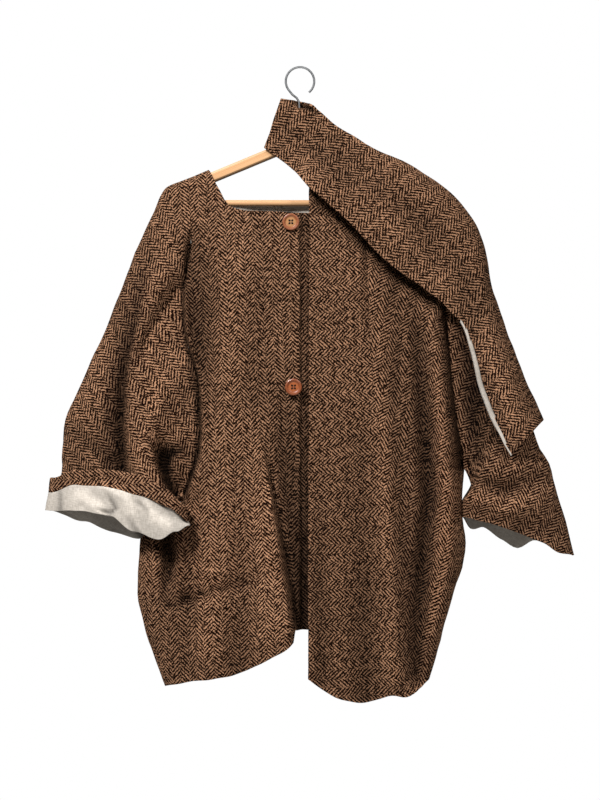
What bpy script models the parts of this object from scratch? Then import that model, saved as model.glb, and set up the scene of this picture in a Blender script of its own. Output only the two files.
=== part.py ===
"""A reversible jacket, tweed outside and linen inside, on a wooden hanger.

Run it with: blender --background --python part.py
World axes: +X to the viewer's right, +Z up, and the jacket's front faces -Y.
The origin is the inside of the hook's crown, where a rail carries the hanger.
Sides are the wearer's, so the right front is on the viewer's left.
Tables are in millimetres, as seen from in front at the hanger's own distance.
"""
import math

import bmesh
import bpy
from mathutils import Vector

MM = 0.001
WALL = 3.0                # mm, tweed and linen together
GAP = 0.3                 # between pieces that meet at a seam
EYE_DISTANCE = 1800.0     # from the eye to the hanger, for the outline tables
EYE_HEIGHT = -511.0

# The cloth's depth from the shoulder plane
CHEST_DEPTH = 38.0
SHOULDER_ROUND = 14.0     # the cloth's bend over the hanger's arm
SHOULDER_FALL = 190.0     # below the shoulder the cloth has its full depth
SIDE_ROUND = 62.0         # the cloth's bend at a side seam
FULL_FOLDS = 26.0         # cloth nearer than this to the shoulder plane folds less
OVERLAP_START = -1.0      # where the right front begins to drop under the band
OVERLAP_RUN = 9.0
OVERLAP_DROP = 6.5

# Hanger
ARM_THICK = 10.0
ARM_TALL = 17.0
ARM_SLOPE = 0.415
ARM_TOP = -104.2
ARM_END = 200.0
ARM_FOOT = 17.0           # the deeper end that holds the bar
ARM_BEVEL = 4.2
BORE_DEPTH = 12.0
BAR_Z = -208.0
BAR_RADIUS = 4.85
WIRE_RADIUS = 1.7
HOOK_RADIUS = 22.0

# Edge lines: x, z
RIGHT_SHOULDER = [(-203, -182.5), (-138.6, -155.5)]
LEFT_SHOULDER = [(203, -182.5), (138.6, -155.5)]
RIGHT_NECK = [(-138.6, -155.5), (-129, -178), (-112, -208), (-92, -218), (-50, -221), (26, -222)]
RIGHT_ARMHOLE = [(-203, -182.5), (-190, -250), (-181, -337), (-177, -410), (-156, -530),
                 (-158, -590), (-179, -665)]
LEFT_ARMHOLE = [(203, -182.5), (212, -260), (223, -357), (229, -430), (237, -510),
                (246, -570), (254, -617)]
RIGHT_SIDE = [(-179, -665), (-182, -690), (-197, -719), (-231, -731), (-246, -748),
              (-250, -790), (-248, -825), (-231, -887), (-207, -952)]
LEFT_SIDE = [(254, -617), (251, -650), (250, -690), (256, -728), (251, -765), (236, -807),
             (222, -860), (199, -942)]
RIGHT_HEM = [(-207, -952), (-182, -947), (-105, -936), (-60, -917), (-25, -898), (-7, -868),
             (26, -865)]
RIGHT_FRONT_EDGE = [(26, -222), (26, -540), (26, -865)]
BAND_TOP = [(14, -176), (60, -170), (100, -163), (120, -159)]
BAND_EDGE = [(14, -176), (14, -400), (13, -700), (13, -942)]
BAND_SEAM = [(120, -159), (104, -240), (103, -330), (112, -456), (123, -581), (132, -681),
             (143, -788), (160, -852), (189, -944)]
BAND_HEM = [(13, -942), (29, -952), (53, -969), (75, -975), (102, -977), (140, -967),
            (165, -970), (189, -944)]
BACK_NECK = [(-138.6, -155.5), (-118, -190), (-90, -208), (0, -211), (90, -208), (118, -190),
             (138.6, -155.5)]
BACK_HEM = [(-207, -952), (-150, -930), (-80, -880), (0, -852), (80, -878), (140, -920),
            (199, -942)]
RIGHT_SLEEVE_TOP = [(-203, -182.5), (-216, -190), (-226, -203), (-239, -248), (-257, -290),
                    (-274, -337), (-299, -403), (-323, -453), (-343, -499), (-362, -542),
                    (-366, -590), (-368, -625), (-378, -655), (-386, -678)]
RIGHT_SLEEVE_UNDER = [(-179, -665), (-187, -669), (-189, -680), (-188, -691)]
LEFT_SLEEVE_TOP = [(203, -182.5), (217, -190), (232, -206), (250, -240), (264, -272),
                   (275, -310), (283, -345), (303, -408), (327, -470), (354, -540),
                   (368, -582), (385, -613), (393, -645), (408, -696), (422, -750)]
LEFT_SLEEVE_UNDER = [(254, -617), (260, -627), (264, -645), (264, -663), (257, -681),
                     (256, -692)]
CUFF_TOP = [(-385, -631), (-174, -681)]
CUFF_JOIN = [(-388, -653), (-171, -698)]
CUFF_FOLD = [(-393, -681), (-168, -704)]

# Folds: x, z of the start, x, z of the end, half width, depth (a ridge is below zero)
RIGHT_FRONT_FOLDS = [
    (-186, -250, -179, -410, 20, 13),
    (-176, -410, -154, -560, 20, 16),
    (-196, -600, -178, -645, 17, 16),
    (-4, -560, 4, -700, 20, 15),
    (4, -700, 9, -900, 19, 25),
    (-203, -827, -120, -799, 9, 4),
    (-120, -799, -83, -790, 9, 3),
    (-206, -740, -203, -790, 16, 9),
    (-75, -300, -110, -560, 26, -3),
    (-60, -600, -45, -840, 30, -4),
]
LEFT_FRONT_FOLDS = [
    (182, -400, 192, -542, 16, 14),
    (192, -542, 199, -700, 15, 17),
    (199, -700, 186, -930, 14, 15),
    (216, -434, 233, -634, 13, -6),
    (232, -660, 216, -880, 13, -6),
    (223, -357, 246, -570, 15, 12),
    (70, -420, 80, -640, 22, 4),
    (60, -700, 58, -960, 20, 5),
    (130, -760, 135, -960, 16, -5),
]
BACK_FOLDS = [
    (-186, -250, -165, -560, 20, 14),
    (-110, -420, -120, -900, 24, 10),
    (-30, -520, -45, -860, 22, 9),
    (55, -460, 60, -870, 24, 11),
    (150, -380, 165, -900, 20, 12),
    (214, -300, 244, -590, 16, 12),
]
SLEEVE_FRONT_FOLDS = [
    (-242, -283, -257, -403, 15, 8),
    (-257, -403, -276, -548, 15, 10),
    (-276, -548, -272, -620, 14, 12),
    (-222, -585, -190, -612, 17, 19),
    (-318, -480, -322, -610, 16, 6),
    (292, -470, 330, -690, 18, 8),
    (330, -560, 372, -700, 15, 7),
    (272, -600, 300, -680, 13, 7),
]
SLEEVE_BACK_FOLDS = [
    (-250, -300, -285, -600, 18, 9),
    (-215, -480, -235, -630, 16, 10),
    (-320, -460, -330, -620, 16, 7),
    (270, -420, 320, -690, 18, 9),
    (330, -540, 370, -700, 16, 7),
]

# Sleeve rings: share of the length, half depth, forward shift of the underarm end
RIGHT_SLEEVE_RINGS = [(0.0, 30, 0), (0.25, 42, 14), (0.55, 38, 40), (0.8, 31, 48), (1.0, 29, 53)]
LEFT_SLEEVE_RINGS = [(0.0, 30, 0), (0.3, 40, 0), (0.7, 42, 0), (1.0, 33, 0)]
SLEEVE_HOLD = 0.34        # share of the length where a sleeve has left its armhole's curve
SLEEVE_HOLD_DEPTH = 0.5   # and its armhole's depth
SLEEVE_CROWDING = 1.15    # above 1, rings crowd towards the armhole
RIM_START = 0.7           # share of the length where the rim's lift begins
# Rims: share from the outer to the underarm end, lift in front, lift behind
RIGHT_SLEEVE_RIM = [(0, 0, 0), (0.25, 5, -14), (0.45, 2, -26), (0.6, -18, -30), (0.78, -27, -26),
                    (0.9, -12, -12), (1, 0, 0)]
LEFT_SLEEVE_RIM = [(0, 0, 0), (0.3, 8, -12), (0.6, 9, -17), (0.85, 5, -8), (1, 0, 0)]
CUFF_TOP_RIM = [(0, 0, 0), (0.2, 22, 6), (0.45, 32, 8), (0.65, 33, 10), (0.85, 20, 8), (1, 0, 0)]
CUFF_JOIN_RIM = [(0, 0, 0), (0.2, 20, 0), (0.45, 27, -6), (0.65, 24, -8), (0.85, 15, -4), (1, 0, 0)]
CUFF_RINGS = [(0.0, 39.9, 46), (1.0, 35.8, 57.4)]   # columns as for the sleeves
CUFF_TRIM = 1.4           # cut from the strip, to stand clear of the linen band

# Scarf: lower x, z, outer x, z, lower y, outer y, roundness, tail behind
SCARF = [
    (-55, -122, -30, -46, -12, -10, 0.0, 0),
    (-32, -139, -2, -51, -14, -10, 0.0, 0),
    (-9, -157, 28, -64, -20, -11, 0.0, 0),
    (17, -186, 56, -88, -46, -13, 0.1, 0),
    (76, -237, 114, -123, -48, -12, 0.5, 0),
    (129, -293, 179, -154, -52, -1, 1.0, 8),
    (203, -348, 243, -203, -50, 3, 1.0, 20),
    (246, -391, 281, -264, -53, 4, 1.0, 26),
    (262, -431, 296, -338, -55, 4, 1.0, 28),
    (274, -480, 318, -403, -55, 4, 1.0, 28),
    (297, -544, 342, -465, -54, 4, 1.0, 28),
    (325, -598, 375, -542, -52, 4, 1.0, 24),
]
SCARF_WALL = 4.0
SCARF_TAIL_SHARE = 0.2    # of its width, where the tail behind is at least FULL_TAIL deep
FULL_TAIL = 20.0
SLIT_CENTRE = (4.0, -65.2)
SLIT_LENGTH = 28.0
SLIT_WIDTH = 7.0
SLIT_SLOPE = -42.0
LIP_CENTRE = (1.0, -52.0) # the cloth above the buttonhole, pulled behind the hook
LIP_LIFT = 14.0
LIP_REACH = 13.0
LIP_FLAT = 1.6            # above 1, the middle of the lip is lifted as a whole
TAIL_SWING = 0.3          # how far the part behind swings back under, by its length
SCARF_OUT = 0.75          # below 1, the scarf widens sooner where it rounds the shoulder
SCARF_BACK = 1.3          # above 1, it turns back later
# Shares down and across the scarf, closer together at the buttonhole and the outer bend
SCARF_HOOK_SHARES = [0.0, 0.03, 0.06, 0.08, 0.1, 0.12, 0.15, 0.19]
SCARF_STEPS = 18
SCARF_ACROSS = [0, 0.14, 0.28, 0.42, 0.54, 0.65, 0.73, 0.8, 0.86, 0.91, 0.955, 1.0]

# Buttons: x, z
BUTTON_TOP = (-14, -237)
BUTTON_LOWER = (-10, -491)
BUTTON_RADIUS = 12.8
BUTTON_THICK = 4.2
BUTTON_PROFILE = [(0, 2.3), (7.4, 2.3), (8.8, 3.1), (9.8, 4.0), (11.2, 4.2), (12.4, 3.6),
                  (12.8, 2.4), (12.2, 0.8), (10.4, 0.0), (0, 0.0)]
BUTTON_HOLE = 1.15
BUTTON_HOLE_OUT = 2.7
BUTTON_OFF = 0.7          # a sewn button stands this far off the cloth
BUTTON_TURNS = 28

# Mesh counts
END_STATION = 0.26        # an extra station's place in the first and the last step
ARMHOLE_STEPS = 16
SIDE_STEPS = 8
SLEEVE_STEPS = 14
RIGHT_COLUMNS = 14
LEFT_COLUMNS = 10
BAND_COLUMNS = 8
BACK_COLUMNS = 20


def remove_all():
    """Empties the scene of its starting objects."""
    for old in list(bpy.data.objects):
        bpy.data.objects.remove(old, do_unlink=True)


def collection(name):
    """A new collection in the scene."""
    made = bpy.data.collections.new(name)
    bpy.context.scene.collection.children.link(made)
    return made


def material(name, colour, roughness, metallic=0.0):
    """A Principled material with the piece's own colour."""
    made = bpy.data.materials.new(name)
    made.use_nodes = True
    shader = made.node_tree.nodes["Principled BSDF"]
    shader.inputs["Base Color"].default_value = (*colour, 1.0)
    shader.inputs["Roughness"].default_value = roughness
    shader.inputs["Metallic"].default_value = metallic
    return made


def row_at(rows, share):
    """The smooth value of a table at a share of its rows, by Catmull-Rom."""
    place = min(max(share, 0.0), 1.0) * (len(rows) - 1)
    i = min(int(place), len(rows) - 2)
    f = place - i
    before = rows[max(i - 1, 0)]
    after = rows[min(i + 2, len(rows) - 1)]
    out = []
    for a, b, c, d in zip(before, rows[i], rows[i + 1], after):
        out.append(0.5 * (2 * b + (c - a) * f + (2 * a - 5 * b + 4 * c - d) * f * f
                          + (3 * b - a - 3 * c + d) * f ** 3))
    return out


def along(line, share):
    """The point of a smooth line at a share of its length."""
    steps = [math.dist(a, b) for a, b in zip(line, line[1:])]
    left = min(max(share, 0.0), 1.0) * sum(steps)
    for i, step in enumerate(steps):
        if left <= step or i == len(steps) - 1:
            return row_at(line, (i + min(left / step, 1.0)) / (len(line) - 1))
        left -= step
    return line[-1]


def by_share(rows, share):
    """The other columns of a table whose first column is the share, eased between rows."""
    for a, b in zip(rows, rows[1:]):
        if share <= b[0] or b is rows[-1]:
            f = min(max((share - a[0]) / (b[0] - a[0]), 0.0), 1.0)
            f = f * f * (3 - 2 * f)
            return [p + (q - p) * f for p, q in zip(a[1:], b[1:])]
    return rows[-1][1:]


def near(line, x, z):
    """The distance from a point to a line of straight stretches."""
    best = 1e9
    for (ax, az), (bx, bz) in zip(line, line[1:]):
        dx = bx - ax
        dz = bz - az
        f = min(max(((x - ax) * dx + (z - az) * dz) / (dx * dx + dz * dz), 0.0), 1.0)
        best = min(best, math.hypot(x - ax - f * dx, z - az - f * dz))
    return best


def quarter(distance, radius):
    """The rise of a quarter circle, from 0 at its edge to 1 a radius in."""
    f = 1.0 - min(distance / radius, 1.0)
    return math.sqrt(max(1.0 - f * f, 0.0))


def folds(table, x, z):
    """How far the folds of a table press the cloth in at a place."""
    total = 0.0
    for ax, az, bx, bz, width, deep in table:
        far = near([(ax, az), (bx, bz)], x, z) / width
        total += deep * math.exp(-far * far)
    return total


def depth(x, z, table):
    """How far the body's cloth stands from the shoulder plane."""
    shoulder = min(near(RIGHT_SHOULDER, x, z), near(LEFT_SHOULDER, x, z))
    over_arm = SHOULDER_ROUND * quarter(shoulder, SHOULDER_ROUND)
    fall = math.sin(0.5 * math.pi * min(shoulder / SHOULDER_FALL, 1.0))
    from_top = over_arm + (CHEST_DEPTH - SHOULDER_ROUND) * fall
    side = min(near(RIGHT_SIDE, x, z), near(LEFT_SIDE, x, z))
    from_side = quarter(side, SIDE_ROUND)
    plain = from_top * from_side
    pressed = folds(table, x, z) * min(plain / FULL_FOLDS, 1.0)
    return max(plain - pressed, 0.0)


def true_place(x, y, z):
    """Moves a point in front of the hanger from where it is seen to where it is, in metres."""
    scale = (EYE_DISTANCE + min(y, 0.0)) / EYE_DISTANCE
    return Vector((x * scale, y, EYE_HEIGHT + (z - EYE_HEIGHT) * scale)) * MM


def stations(count):
    """Shares from 0 to 1, closer together at both ends, as round a flattened ring."""
    even = [0.5 - 0.5 * math.cos(math.pi * i / (count - 2)) for i in range(count - 1)]
    extra = END_STATION * even[1]
    return [even[0], extra] + even[1:-1] + [1 - extra, even[-1]]


def side_edge(armhole, side):
    """The points of a front's or the back's side, down the armhole and then the side seam."""
    rows = [along(armhole, s) for s in stations(ARMHOLE_STEPS)]
    return rows + [along(side, (i + 1) / SIDE_STEPS) for i in range(SIDE_STEPS)]


def length_shares(points):
    """Each point's share of the length of the line through them."""
    steps = [math.dist(a, b) for a, b in zip(points, points[1:])]
    run = [0.0]
    for step in steps:
        run.append(run[-1] + step)
    return [r / run[-1] for r in run]


def patch(left, right, top, hem, columns):
    """Rows of x, z that fill four edges. left is a list of points, the others smooth lines."""
    shares = length_shares(left)
    rows = []
    right_points = right if len(right) == len(left) else [along(right, v) for v in shares]
    corners = (left[0], right_points[0], left[-1], right_points[-1])
    for v, l, r in zip(shares, left, right_points):
        row = []
        for c in range(columns + 1):
            u = c / columns
            t = along(top, u)
            b = along(hem, u)
            point = []
            for k in range(2):
                flat = ((1 - u) * (1 - v) * corners[0][k] + u * (1 - v) * corners[1][k]
                        + (1 - u) * v * corners[2][k] + u * v * corners[3][k])
                point.append((1 - v) * t[k] + v * b[k] + (1 - u) * l[k] + u * r[k] - flat)
            row.append(point)
        rows.append(row)
    return rows


def cloth(name, rows, inside, finish, home, wall=WALL, ring=False, sewn=None):
    """A wall of cloth whose outer face goes through rows of points, in metres.

    inside is a point on its inner side. sewn gives, for a row and column on a seam,
    the direction of the wall there, so that both pieces of the seam end alike.
    """
    last_row = len(rows) - 1
    last_column = len(rows[0]) - 1
    mesh = bpy.data.meshes.new(name)
    body = bmesh.new()
    bmesh.ops.create_grid(body, x_segments=last_column, y_segments=last_row, size=1.0)
    row_tag = body.verts.layers.int.new("row")
    column_tag = body.verts.layers.int.new("column")
    for vertex in body.verts:
        column = round((vertex.co.x + 1) / 2 * last_column)
        row = round((vertex.co.y + 1) / 2 * last_row)
        vertex[row_tag] = row
        vertex[column_tag] = column
        vertex.co = rows[row][column]
    if ring:
        bmesh.ops.remove_doubles(body, verts=body.verts, dist=1e-7)
    body.normal_update()
    out = sum(f.normal.dot(f.calc_center_median() - inside(f.calc_center_median()))
              for f in body.faces)
    if out < 0:
        bmesh.ops.reverse_faces(body, faces=body.faces)
    body.to_mesh(mesh)
    body.free()
    shell = bpy.data.objects.new(name, mesh)
    home.objects.link(shell)
    solid = shell.modifiers.new("Wall", "SOLIDIFY")
    solid.thickness = wall * MM
    solid.offset = -1.0
    bpy.context.view_layer.update()
    walled = bpy.data.meshes.new_from_object(shell.evaluated_get(bpy.context.evaluated_depsgraph_get()))
    shell.modifiers.remove(solid)
    count = len(mesh.vertices)
    tags_row = walled.attributes["row"].data
    tags_column = walled.attributes["column"].data
    for i in range(count):
        way = sewn(tags_row[i].value, tags_column[i].value) if sewn else None
        if way:
            walled.vertices[i + count].co = walled.vertices[i].co + way * wall * MM
    shell.data = walled
    walled.name = name
    walled.materials.clear()
    walled.materials.append(finish)
    walled.shade_smooth()
    walled.set_sharp_from_angle(angle=math.radians(50))
    return shell


def keep_side(shell, sign):
    """Keeps a piece on its own side of the plane where the shoulder and side seams lie."""
    edge = 0.5 * GAP * MM
    for vertex in shell.data.vertices:
        if vertex.co.y * sign < edge:
            vertex.co.y = edge * sign


def armhole_ways(line, table, sign):
    """The wall's direction at each station of an armhole, square to its curve."""
    points = []
    for s in stations(ARMHOLE_STEPS):
        x, z = along(line, s)
        points.append(true_place(x, sign * depth(x, z, table), z))
    ways = []
    for i in range(len(points)):
        a = points[max(i - 1, 0)]
        b = points[min(i + 1, len(points) - 1)]
        run = b - a
        ways.append(Vector((0.0, sign * run.z, -sign * run.y)).normalized())
    ways[0] = Vector((0.0, 0.0, -1.0))
    ways[-1] = Vector((0.0, 0.0, 1.0))
    return ways


def body_rows(flat, table, sign, lift=None):
    """The points of a body panel, with its depth from the fold table."""
    rows = []
    for row in flat:
        out = []
        for x, z in row:
            y = sign * (depth(x, z, table) - (lift(x, z) if lift else 0.0))
            out.append(true_place(x, y, z))
        rows.append(out)
    return rows


def under_lift(x, z):
    """The right front lies lower where it runs on under the band."""
    f = min(max((x - OVERLAP_START) / OVERLAP_RUN, 0.0), 1.0)
    return OVERLAP_DROP * f * f * (3 - 2 * f)


def body_axis(point):
    """The middle of the body at a point's height and place."""
    return Vector((point.x, 0.0, point.z))


def make_fronts(home, finish):
    """The right front, and the left front in its two pieces."""
    left = side_edge(RIGHT_ARMHOLE, RIGHT_SIDE)
    top = RIGHT_SHOULDER[:1] + RIGHT_NECK
    flat = patch(left, RIGHT_FRONT_EDGE, top, RIGHT_HEM, RIGHT_COLUMNS)
    ways = armhole_ways(RIGHT_ARMHOLE, RIGHT_FRONT_FOLDS, -1)
    shell = cloth("right_front", body_rows(flat, RIGHT_FRONT_FOLDS, -1, under_lift), body_axis, finish,
                  home, sewn=lambda r, c: ways[r] if c == 0 and r <= ARMHOLE_STEPS else None)
    keep_side(shell, -1)

    outer = side_edge(LEFT_ARMHOLE, LEFT_SIDE)
    seam = [along(BAND_SEAM, v) for v in length_shares(outer)]
    flat = patch(seam, outer, [(120.15, -159), (138.6, -155.5), (203, -182.5)],
                 [(189.15, -944), (199, -942)], LEFT_COLUMNS)
    for row in flat:
        row[0] = (row[0][0] + 0.5 * GAP, row[0][1])     # the seam takes half a gap from each side
    ways_left = armhole_ways(LEFT_ARMHOLE, LEFT_FRONT_FOLDS, -1)
    straight = Vector((0.0, 1.0, 0.0))

    def sewn(r, c):
        if c == 0:
            return straight
        return ways_left[r] if c == LEFT_COLUMNS and r <= ARMHOLE_STEPS else None

    shell = cloth("left_front", body_rows(flat, LEFT_FRONT_FOLDS, -1), body_axis, finish, home, sewn=sewn)
    keep_side(shell, -1)

    edge = [along(BAND_EDGE, v) for v in length_shares(seam)]
    flat = patch(edge, seam, BAND_TOP, BAND_HEM, BAND_COLUMNS)
    for row in flat:
        row[-1] = (row[-1][0] - 0.5 * GAP, row[-1][1])
    shell = cloth("left_front_band", body_rows(flat, LEFT_FRONT_FOLDS, -1), body_axis, finish, home,
                  sewn=lambda r, c: straight if c == BAND_COLUMNS else None)
    keep_side(shell, -1)


def make_back(home, finish):
    """The back, one panel between both armholes and side seams."""
    left = side_edge(RIGHT_ARMHOLE, RIGHT_SIDE)
    right = side_edge(LEFT_ARMHOLE, LEFT_SIDE)
    top = RIGHT_SHOULDER[:1] + BACK_NECK + LEFT_SHOULDER[:1]
    flat = patch(left, right, top, BACK_HEM, BACK_COLUMNS)
    right_ways = armhole_ways(RIGHT_ARMHOLE, BACK_FOLDS, 1)
    left_ways = armhole_ways(LEFT_ARMHOLE, BACK_FOLDS, 1)

    def sewn(r, c):
        if r <= ARMHOLE_STEPS and c == 0:
            return right_ways[r]
        if r <= ARMHOLE_STEPS and c == BACK_COLUMNS:
            return left_ways[r]
        return None

    shell = cloth("back", body_rows(flat, BACK_FOLDS, 1), body_axis, finish, home, sewn=sewn)
    keep_side(shell, 1)


def sleeve_point(side, share, around, sign):
    """A point of a sleeve: share down its length, around from its top (0) to its underarm (1)."""
    armhole, top, under, rings, rim, front_folds = side
    ox, oz = along(top, share)
    ix, iz = along(under, share)
    half, shift = by_share(rings, share)
    front, behind = by_share(rim, around)
    lift = (front if sign < 0 else behind) * max(share - RIM_START, 0.0) / (1 - RIM_START)
    x = ox + (ix - ox) * around
    z = oz + (iz - oz) * around + lift
    swell = math.sqrt(max(4 * around * (1 - around), 0.0))
    y = sign * half * swell - shift * around * around
    table = SLEEVE_FRONT_FOLDS if sign < 0 else SLEEVE_BACK_FOLDS
    y -= sign * folds(table, x, z) * swell * min(share / 0.25, 1.0)
    ax, az = along(armhole, around)
    ay = sign * depth(ax, az, front_folds if sign < 0 else BACK_FOLDS)
    hold = max(1 - share / SLEEVE_HOLD, 0.0) ** 2
    hold_depth = max(1 - (share / SLEEVE_HOLD_DEPTH) ** 2, 0.0)
    return (x + (ax - x) * hold, y + (ay - y) * hold_depth, z + (az - z) * hold)


def sleeve_rows(side, outward):
    """Rings of a sleeve from its armhole to its end, front half and then back half."""
    rows = []
    steps = stations(ARMHOLE_STEPS)
    shares = [(i / SLEEVE_STEPS) ** SLEEVE_CROWDING for i in range(SLEEVE_STEPS + 1)]
    for i, share in enumerate(shares):
        row = []
        for sign, way in ((-1, steps), (1, steps[::-1])):
            for around in way[:-1] if sign < 0 else way:
                x, y, z = sleeve_point(side, share, around, sign)
                if i == 0:
                    x += outward * GAP
                row.append(true_place(x, y, z))
        rows.append(row)
    return rows


def make_sleeve(name, side, outward, home, finish):
    """One sleeve, a tube that meets the body at its armhole."""
    rows = sleeve_rows(side, outward)
    front_ways = armhole_ways(side[0], side[5], -1)
    back_ways = armhole_ways(side[0], BACK_FOLDS, 1)
    middles = [sum(row, Vector()) / len(row) for row in rows]

    def inside(point):
        return min(middles, key=lambda m: (m - point).length)

    def sewn(r, c):
        if r > 0:
            return None
        c = c % (2 * ARMHOLE_STEPS)
        return front_ways[c] if c <= ARMHOLE_STEPS else back_ways[2 * ARMHOLE_STEPS - c]

    return cloth(name, rows, inside, finish, home, ring=True, sewn=sewn)


def cuff_rows(upper, lower, upper_rim, lower_rim, steps):
    """Rings of the turned-up cuff, from its upper to its lower line."""
    rows = []
    ring_steps = stations(ARMHOLE_STEPS)
    for i in range(steps + 1):
        f = i / steps
        row = []
        for sign, way in ((-1, ring_steps), (1, ring_steps[::-1])):
            for around in way[:-1] if sign < 0 else way:
                a = [p + (q - p) * around for p, q in zip(upper[0], upper[1])]
                b = [p + (q - p) * around for p, q in zip(lower[0], lower[1])]
                pick = 0 if sign < 0 else 1
                lift_a = by_share(upper_rim, around)[pick]
                lift_b = by_share(lower_rim, around)[pick]
                half, shift = by_share(CUFF_RINGS, f)
                x = a[0] + (b[0] - a[0]) * f
                z = a[1] + lift_a + (b[1] + lift_b - a[1] - lift_a) * f
                swell = math.sqrt(max(4 * around * (1 - around), 0.0))
                y = sign * half * swell - shift * around * around
                row.append(true_place(x, y, z))
        rows.append(row)
    return rows


def ring_ways(ring):
    """The way in, square to a ring, at each of its points but the last, which closes it."""
    points = ring[:-1]
    middle = sum(points, Vector()) / len(points)
    ways = []
    for i, point in enumerate(points):
        run = points[(i + 1) % len(points)] - points[i - 1]
        spoke = middle - point
        across = spoke - run * (spoke.dot(run) / run.length_squared)
        across.z = 0.0
        ways.append(across.normalized())
    return ways


def make_cuff(home, tweed, linen):
    """The end of the right sleeve, turned up: a tweed strip above a linen band."""
    for name, upper, lower, rims, steps, finish, trim in (
            ("right_cuff_strip", CUFF_TOP, CUFF_JOIN, (CUFF_TOP_RIM, CUFF_JOIN_RIM), 2, tweed,
             CUFF_TRIM),
            ("right_cuff_turnup", CUFF_JOIN, CUFF_FOLD, (CUFF_JOIN_RIM, RIGHT_SLEEVE_RIM), 3,
             linen, 0.0)):
        rows = cuff_rows(upper, lower, rims[0], rims[1], steps)
        joined = len(rows) - 1 if trim else 0
        ways = ring_ways(rows[joined])
        if trim:
            rows[-1] = [p + Vector((0.0, 0.0, trim * MM)) for p in rows[-1]]
        middle = sum((sum(row, Vector()) for row in rows), Vector()) / sum(len(r) for r in rows)
        cloth(name, rows, lambda p, m=middle: m, finish, home, ring=True,
              sewn=lambda r, c, w=ways, j=joined: w[c % len(w)] if r == j else None)


def scarf_point(share, across):
    """A point of the scarf: share from its hook end, across from its lower to its outer edge."""
    lx, lz, ox, oz, ly, oy, bend, tail = row_at(SCARF, share)
    turned = SCARF_TAIL_SHARE * min(max(tail, 0.0) / FULL_TAIL, 1.0)
    main = min(across / (1 - turned), 1.0)
    rest = (across - (1 - turned)) / turned if across > 1 - turned else 0.0
    turn = 0.5 * math.pi * main
    reach = main + (math.sin(turn) ** SCARF_OUT - main) * bend
    sink = main + ((1 - math.cos(turn)) ** SCARF_BACK - main) * bend
    x = lx + (ox - lx) * reach - TAIL_SWING * tail * rest * rest
    y = ly + (oy - ly) * sink + tail * rest
    z = lz + (oz - lz) * reach
    lip = max(1 - math.dist((x, z), LIP_CENTRE) / LIP_REACH, 0.0)
    return x, y + LIP_LIFT * min(LIP_FLAT * lip, 1.0), z


def make_scarf(home, cutters, finish):
    """The scarf collar, hung on the hook by its buttonhole and laid over the left shoulder."""
    first = SCARF_HOOK_SHARES[-1]
    shares = SCARF_HOOK_SHARES + [first + (1 - first) * (i + 1) / SCARF_STEPS
                                  for i in range(SCARF_STEPS)]
    rows = [[true_place(*scarf_point(s, c)) for c in SCARF_ACROSS] for s in shares]

    def inside(point):
        return Vector((0.9 * point.x, 0.05, point.z - 0.02))

    shell = cloth("scarf_collar", rows, inside, finish, home, wall=SCARF_WALL)
    bpy.ops.mesh.primitive_cube_add(size=1.0)
    slit = bpy.context.object
    slit.name = "buttonhole_cutter"
    slit.scale = (SLIT_LENGTH * MM, 60 * MM, SLIT_WIDTH * MM)
    slit.location = (SLIT_CENTRE[0] * MM, 0.0, SLIT_CENTRE[1] * MM)
    slit.rotation_euler = (0.0, -math.radians(SLIT_SLOPE), 0.0)
    put_away(slit, cutters)
    cut = shell.modifiers.new("Buttonhole", "BOOLEAN")
    cut.object = slit
    cut.operation = "DIFFERENCE"


def put_away(cutter, cutters):
    """Moves a cutter to its own collection, drawn as wire."""
    for owner in list(cutter.users_collection):
        owner.objects.unlink(cutter)
    cutters.objects.link(cutter)
    cutter.hide_render = True
    cutter.display_type = "WIRE"


def make_button(name, place, home, cutters, finish):
    """A turned button with a raised rim and four holes, just off the right front."""
    x, z = place
    seat = depth(x, z, RIGHT_FRONT_FOLDS) - under_lift(x, z) + BUTTON_OFF
    steps = len(BUTTON_PROFILE)
    mesh = bpy.data.meshes.new(name)
    mesh.from_pydata([(r * MM, 0.0, h * MM) for r, h in BUTTON_PROFILE],
                     [(i, i + 1) for i in range(steps - 1)], [])
    button = bpy.data.objects.new(name, mesh)
    home.objects.link(button)
    turn = button.modifiers.new("Turn", "SCREW")
    turn.steps = BUTTON_TURNS
    turn.render_steps = BUTTON_TURNS
    turn.use_merge_vertices = True
    turn.merge_threshold = 0.00005
    turn.use_smooth_shade = True
    mesh.materials.append(finish)
    button.rotation_euler = (math.radians(90), 0.0, 0.0)
    button.location = true_place(x, -seat, z)
    holes = bpy.data.meshes.new(name + "_holes")
    tool = bmesh.new()
    for sx in (-1, 1):
        for sy in (-1, 1):
            made = bmesh.ops.create_cone(tool, cap_ends=True, segments=12, radius1=BUTTON_HOLE * MM,
                                         radius2=BUTTON_HOLE * MM, depth=0.02)
            bmesh.ops.translate(tool, verts=made["verts"],
                                vec=(sx * BUTTON_HOLE_OUT * MM, sy * BUTTON_HOLE_OUT * MM, 0.0))
    tool.to_mesh(holes)
    tool.free()
    cutter = bpy.data.objects.new(name + "_holes", holes)
    cutter.rotation_euler = button.rotation_euler
    cutter.location = button.location
    put_away(cutter, cutters)
    cut = button.modifiers.new("Holes", "BOOLEAN")
    cut.object = cutter
    cut.operation = "DIFFERENCE"


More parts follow.
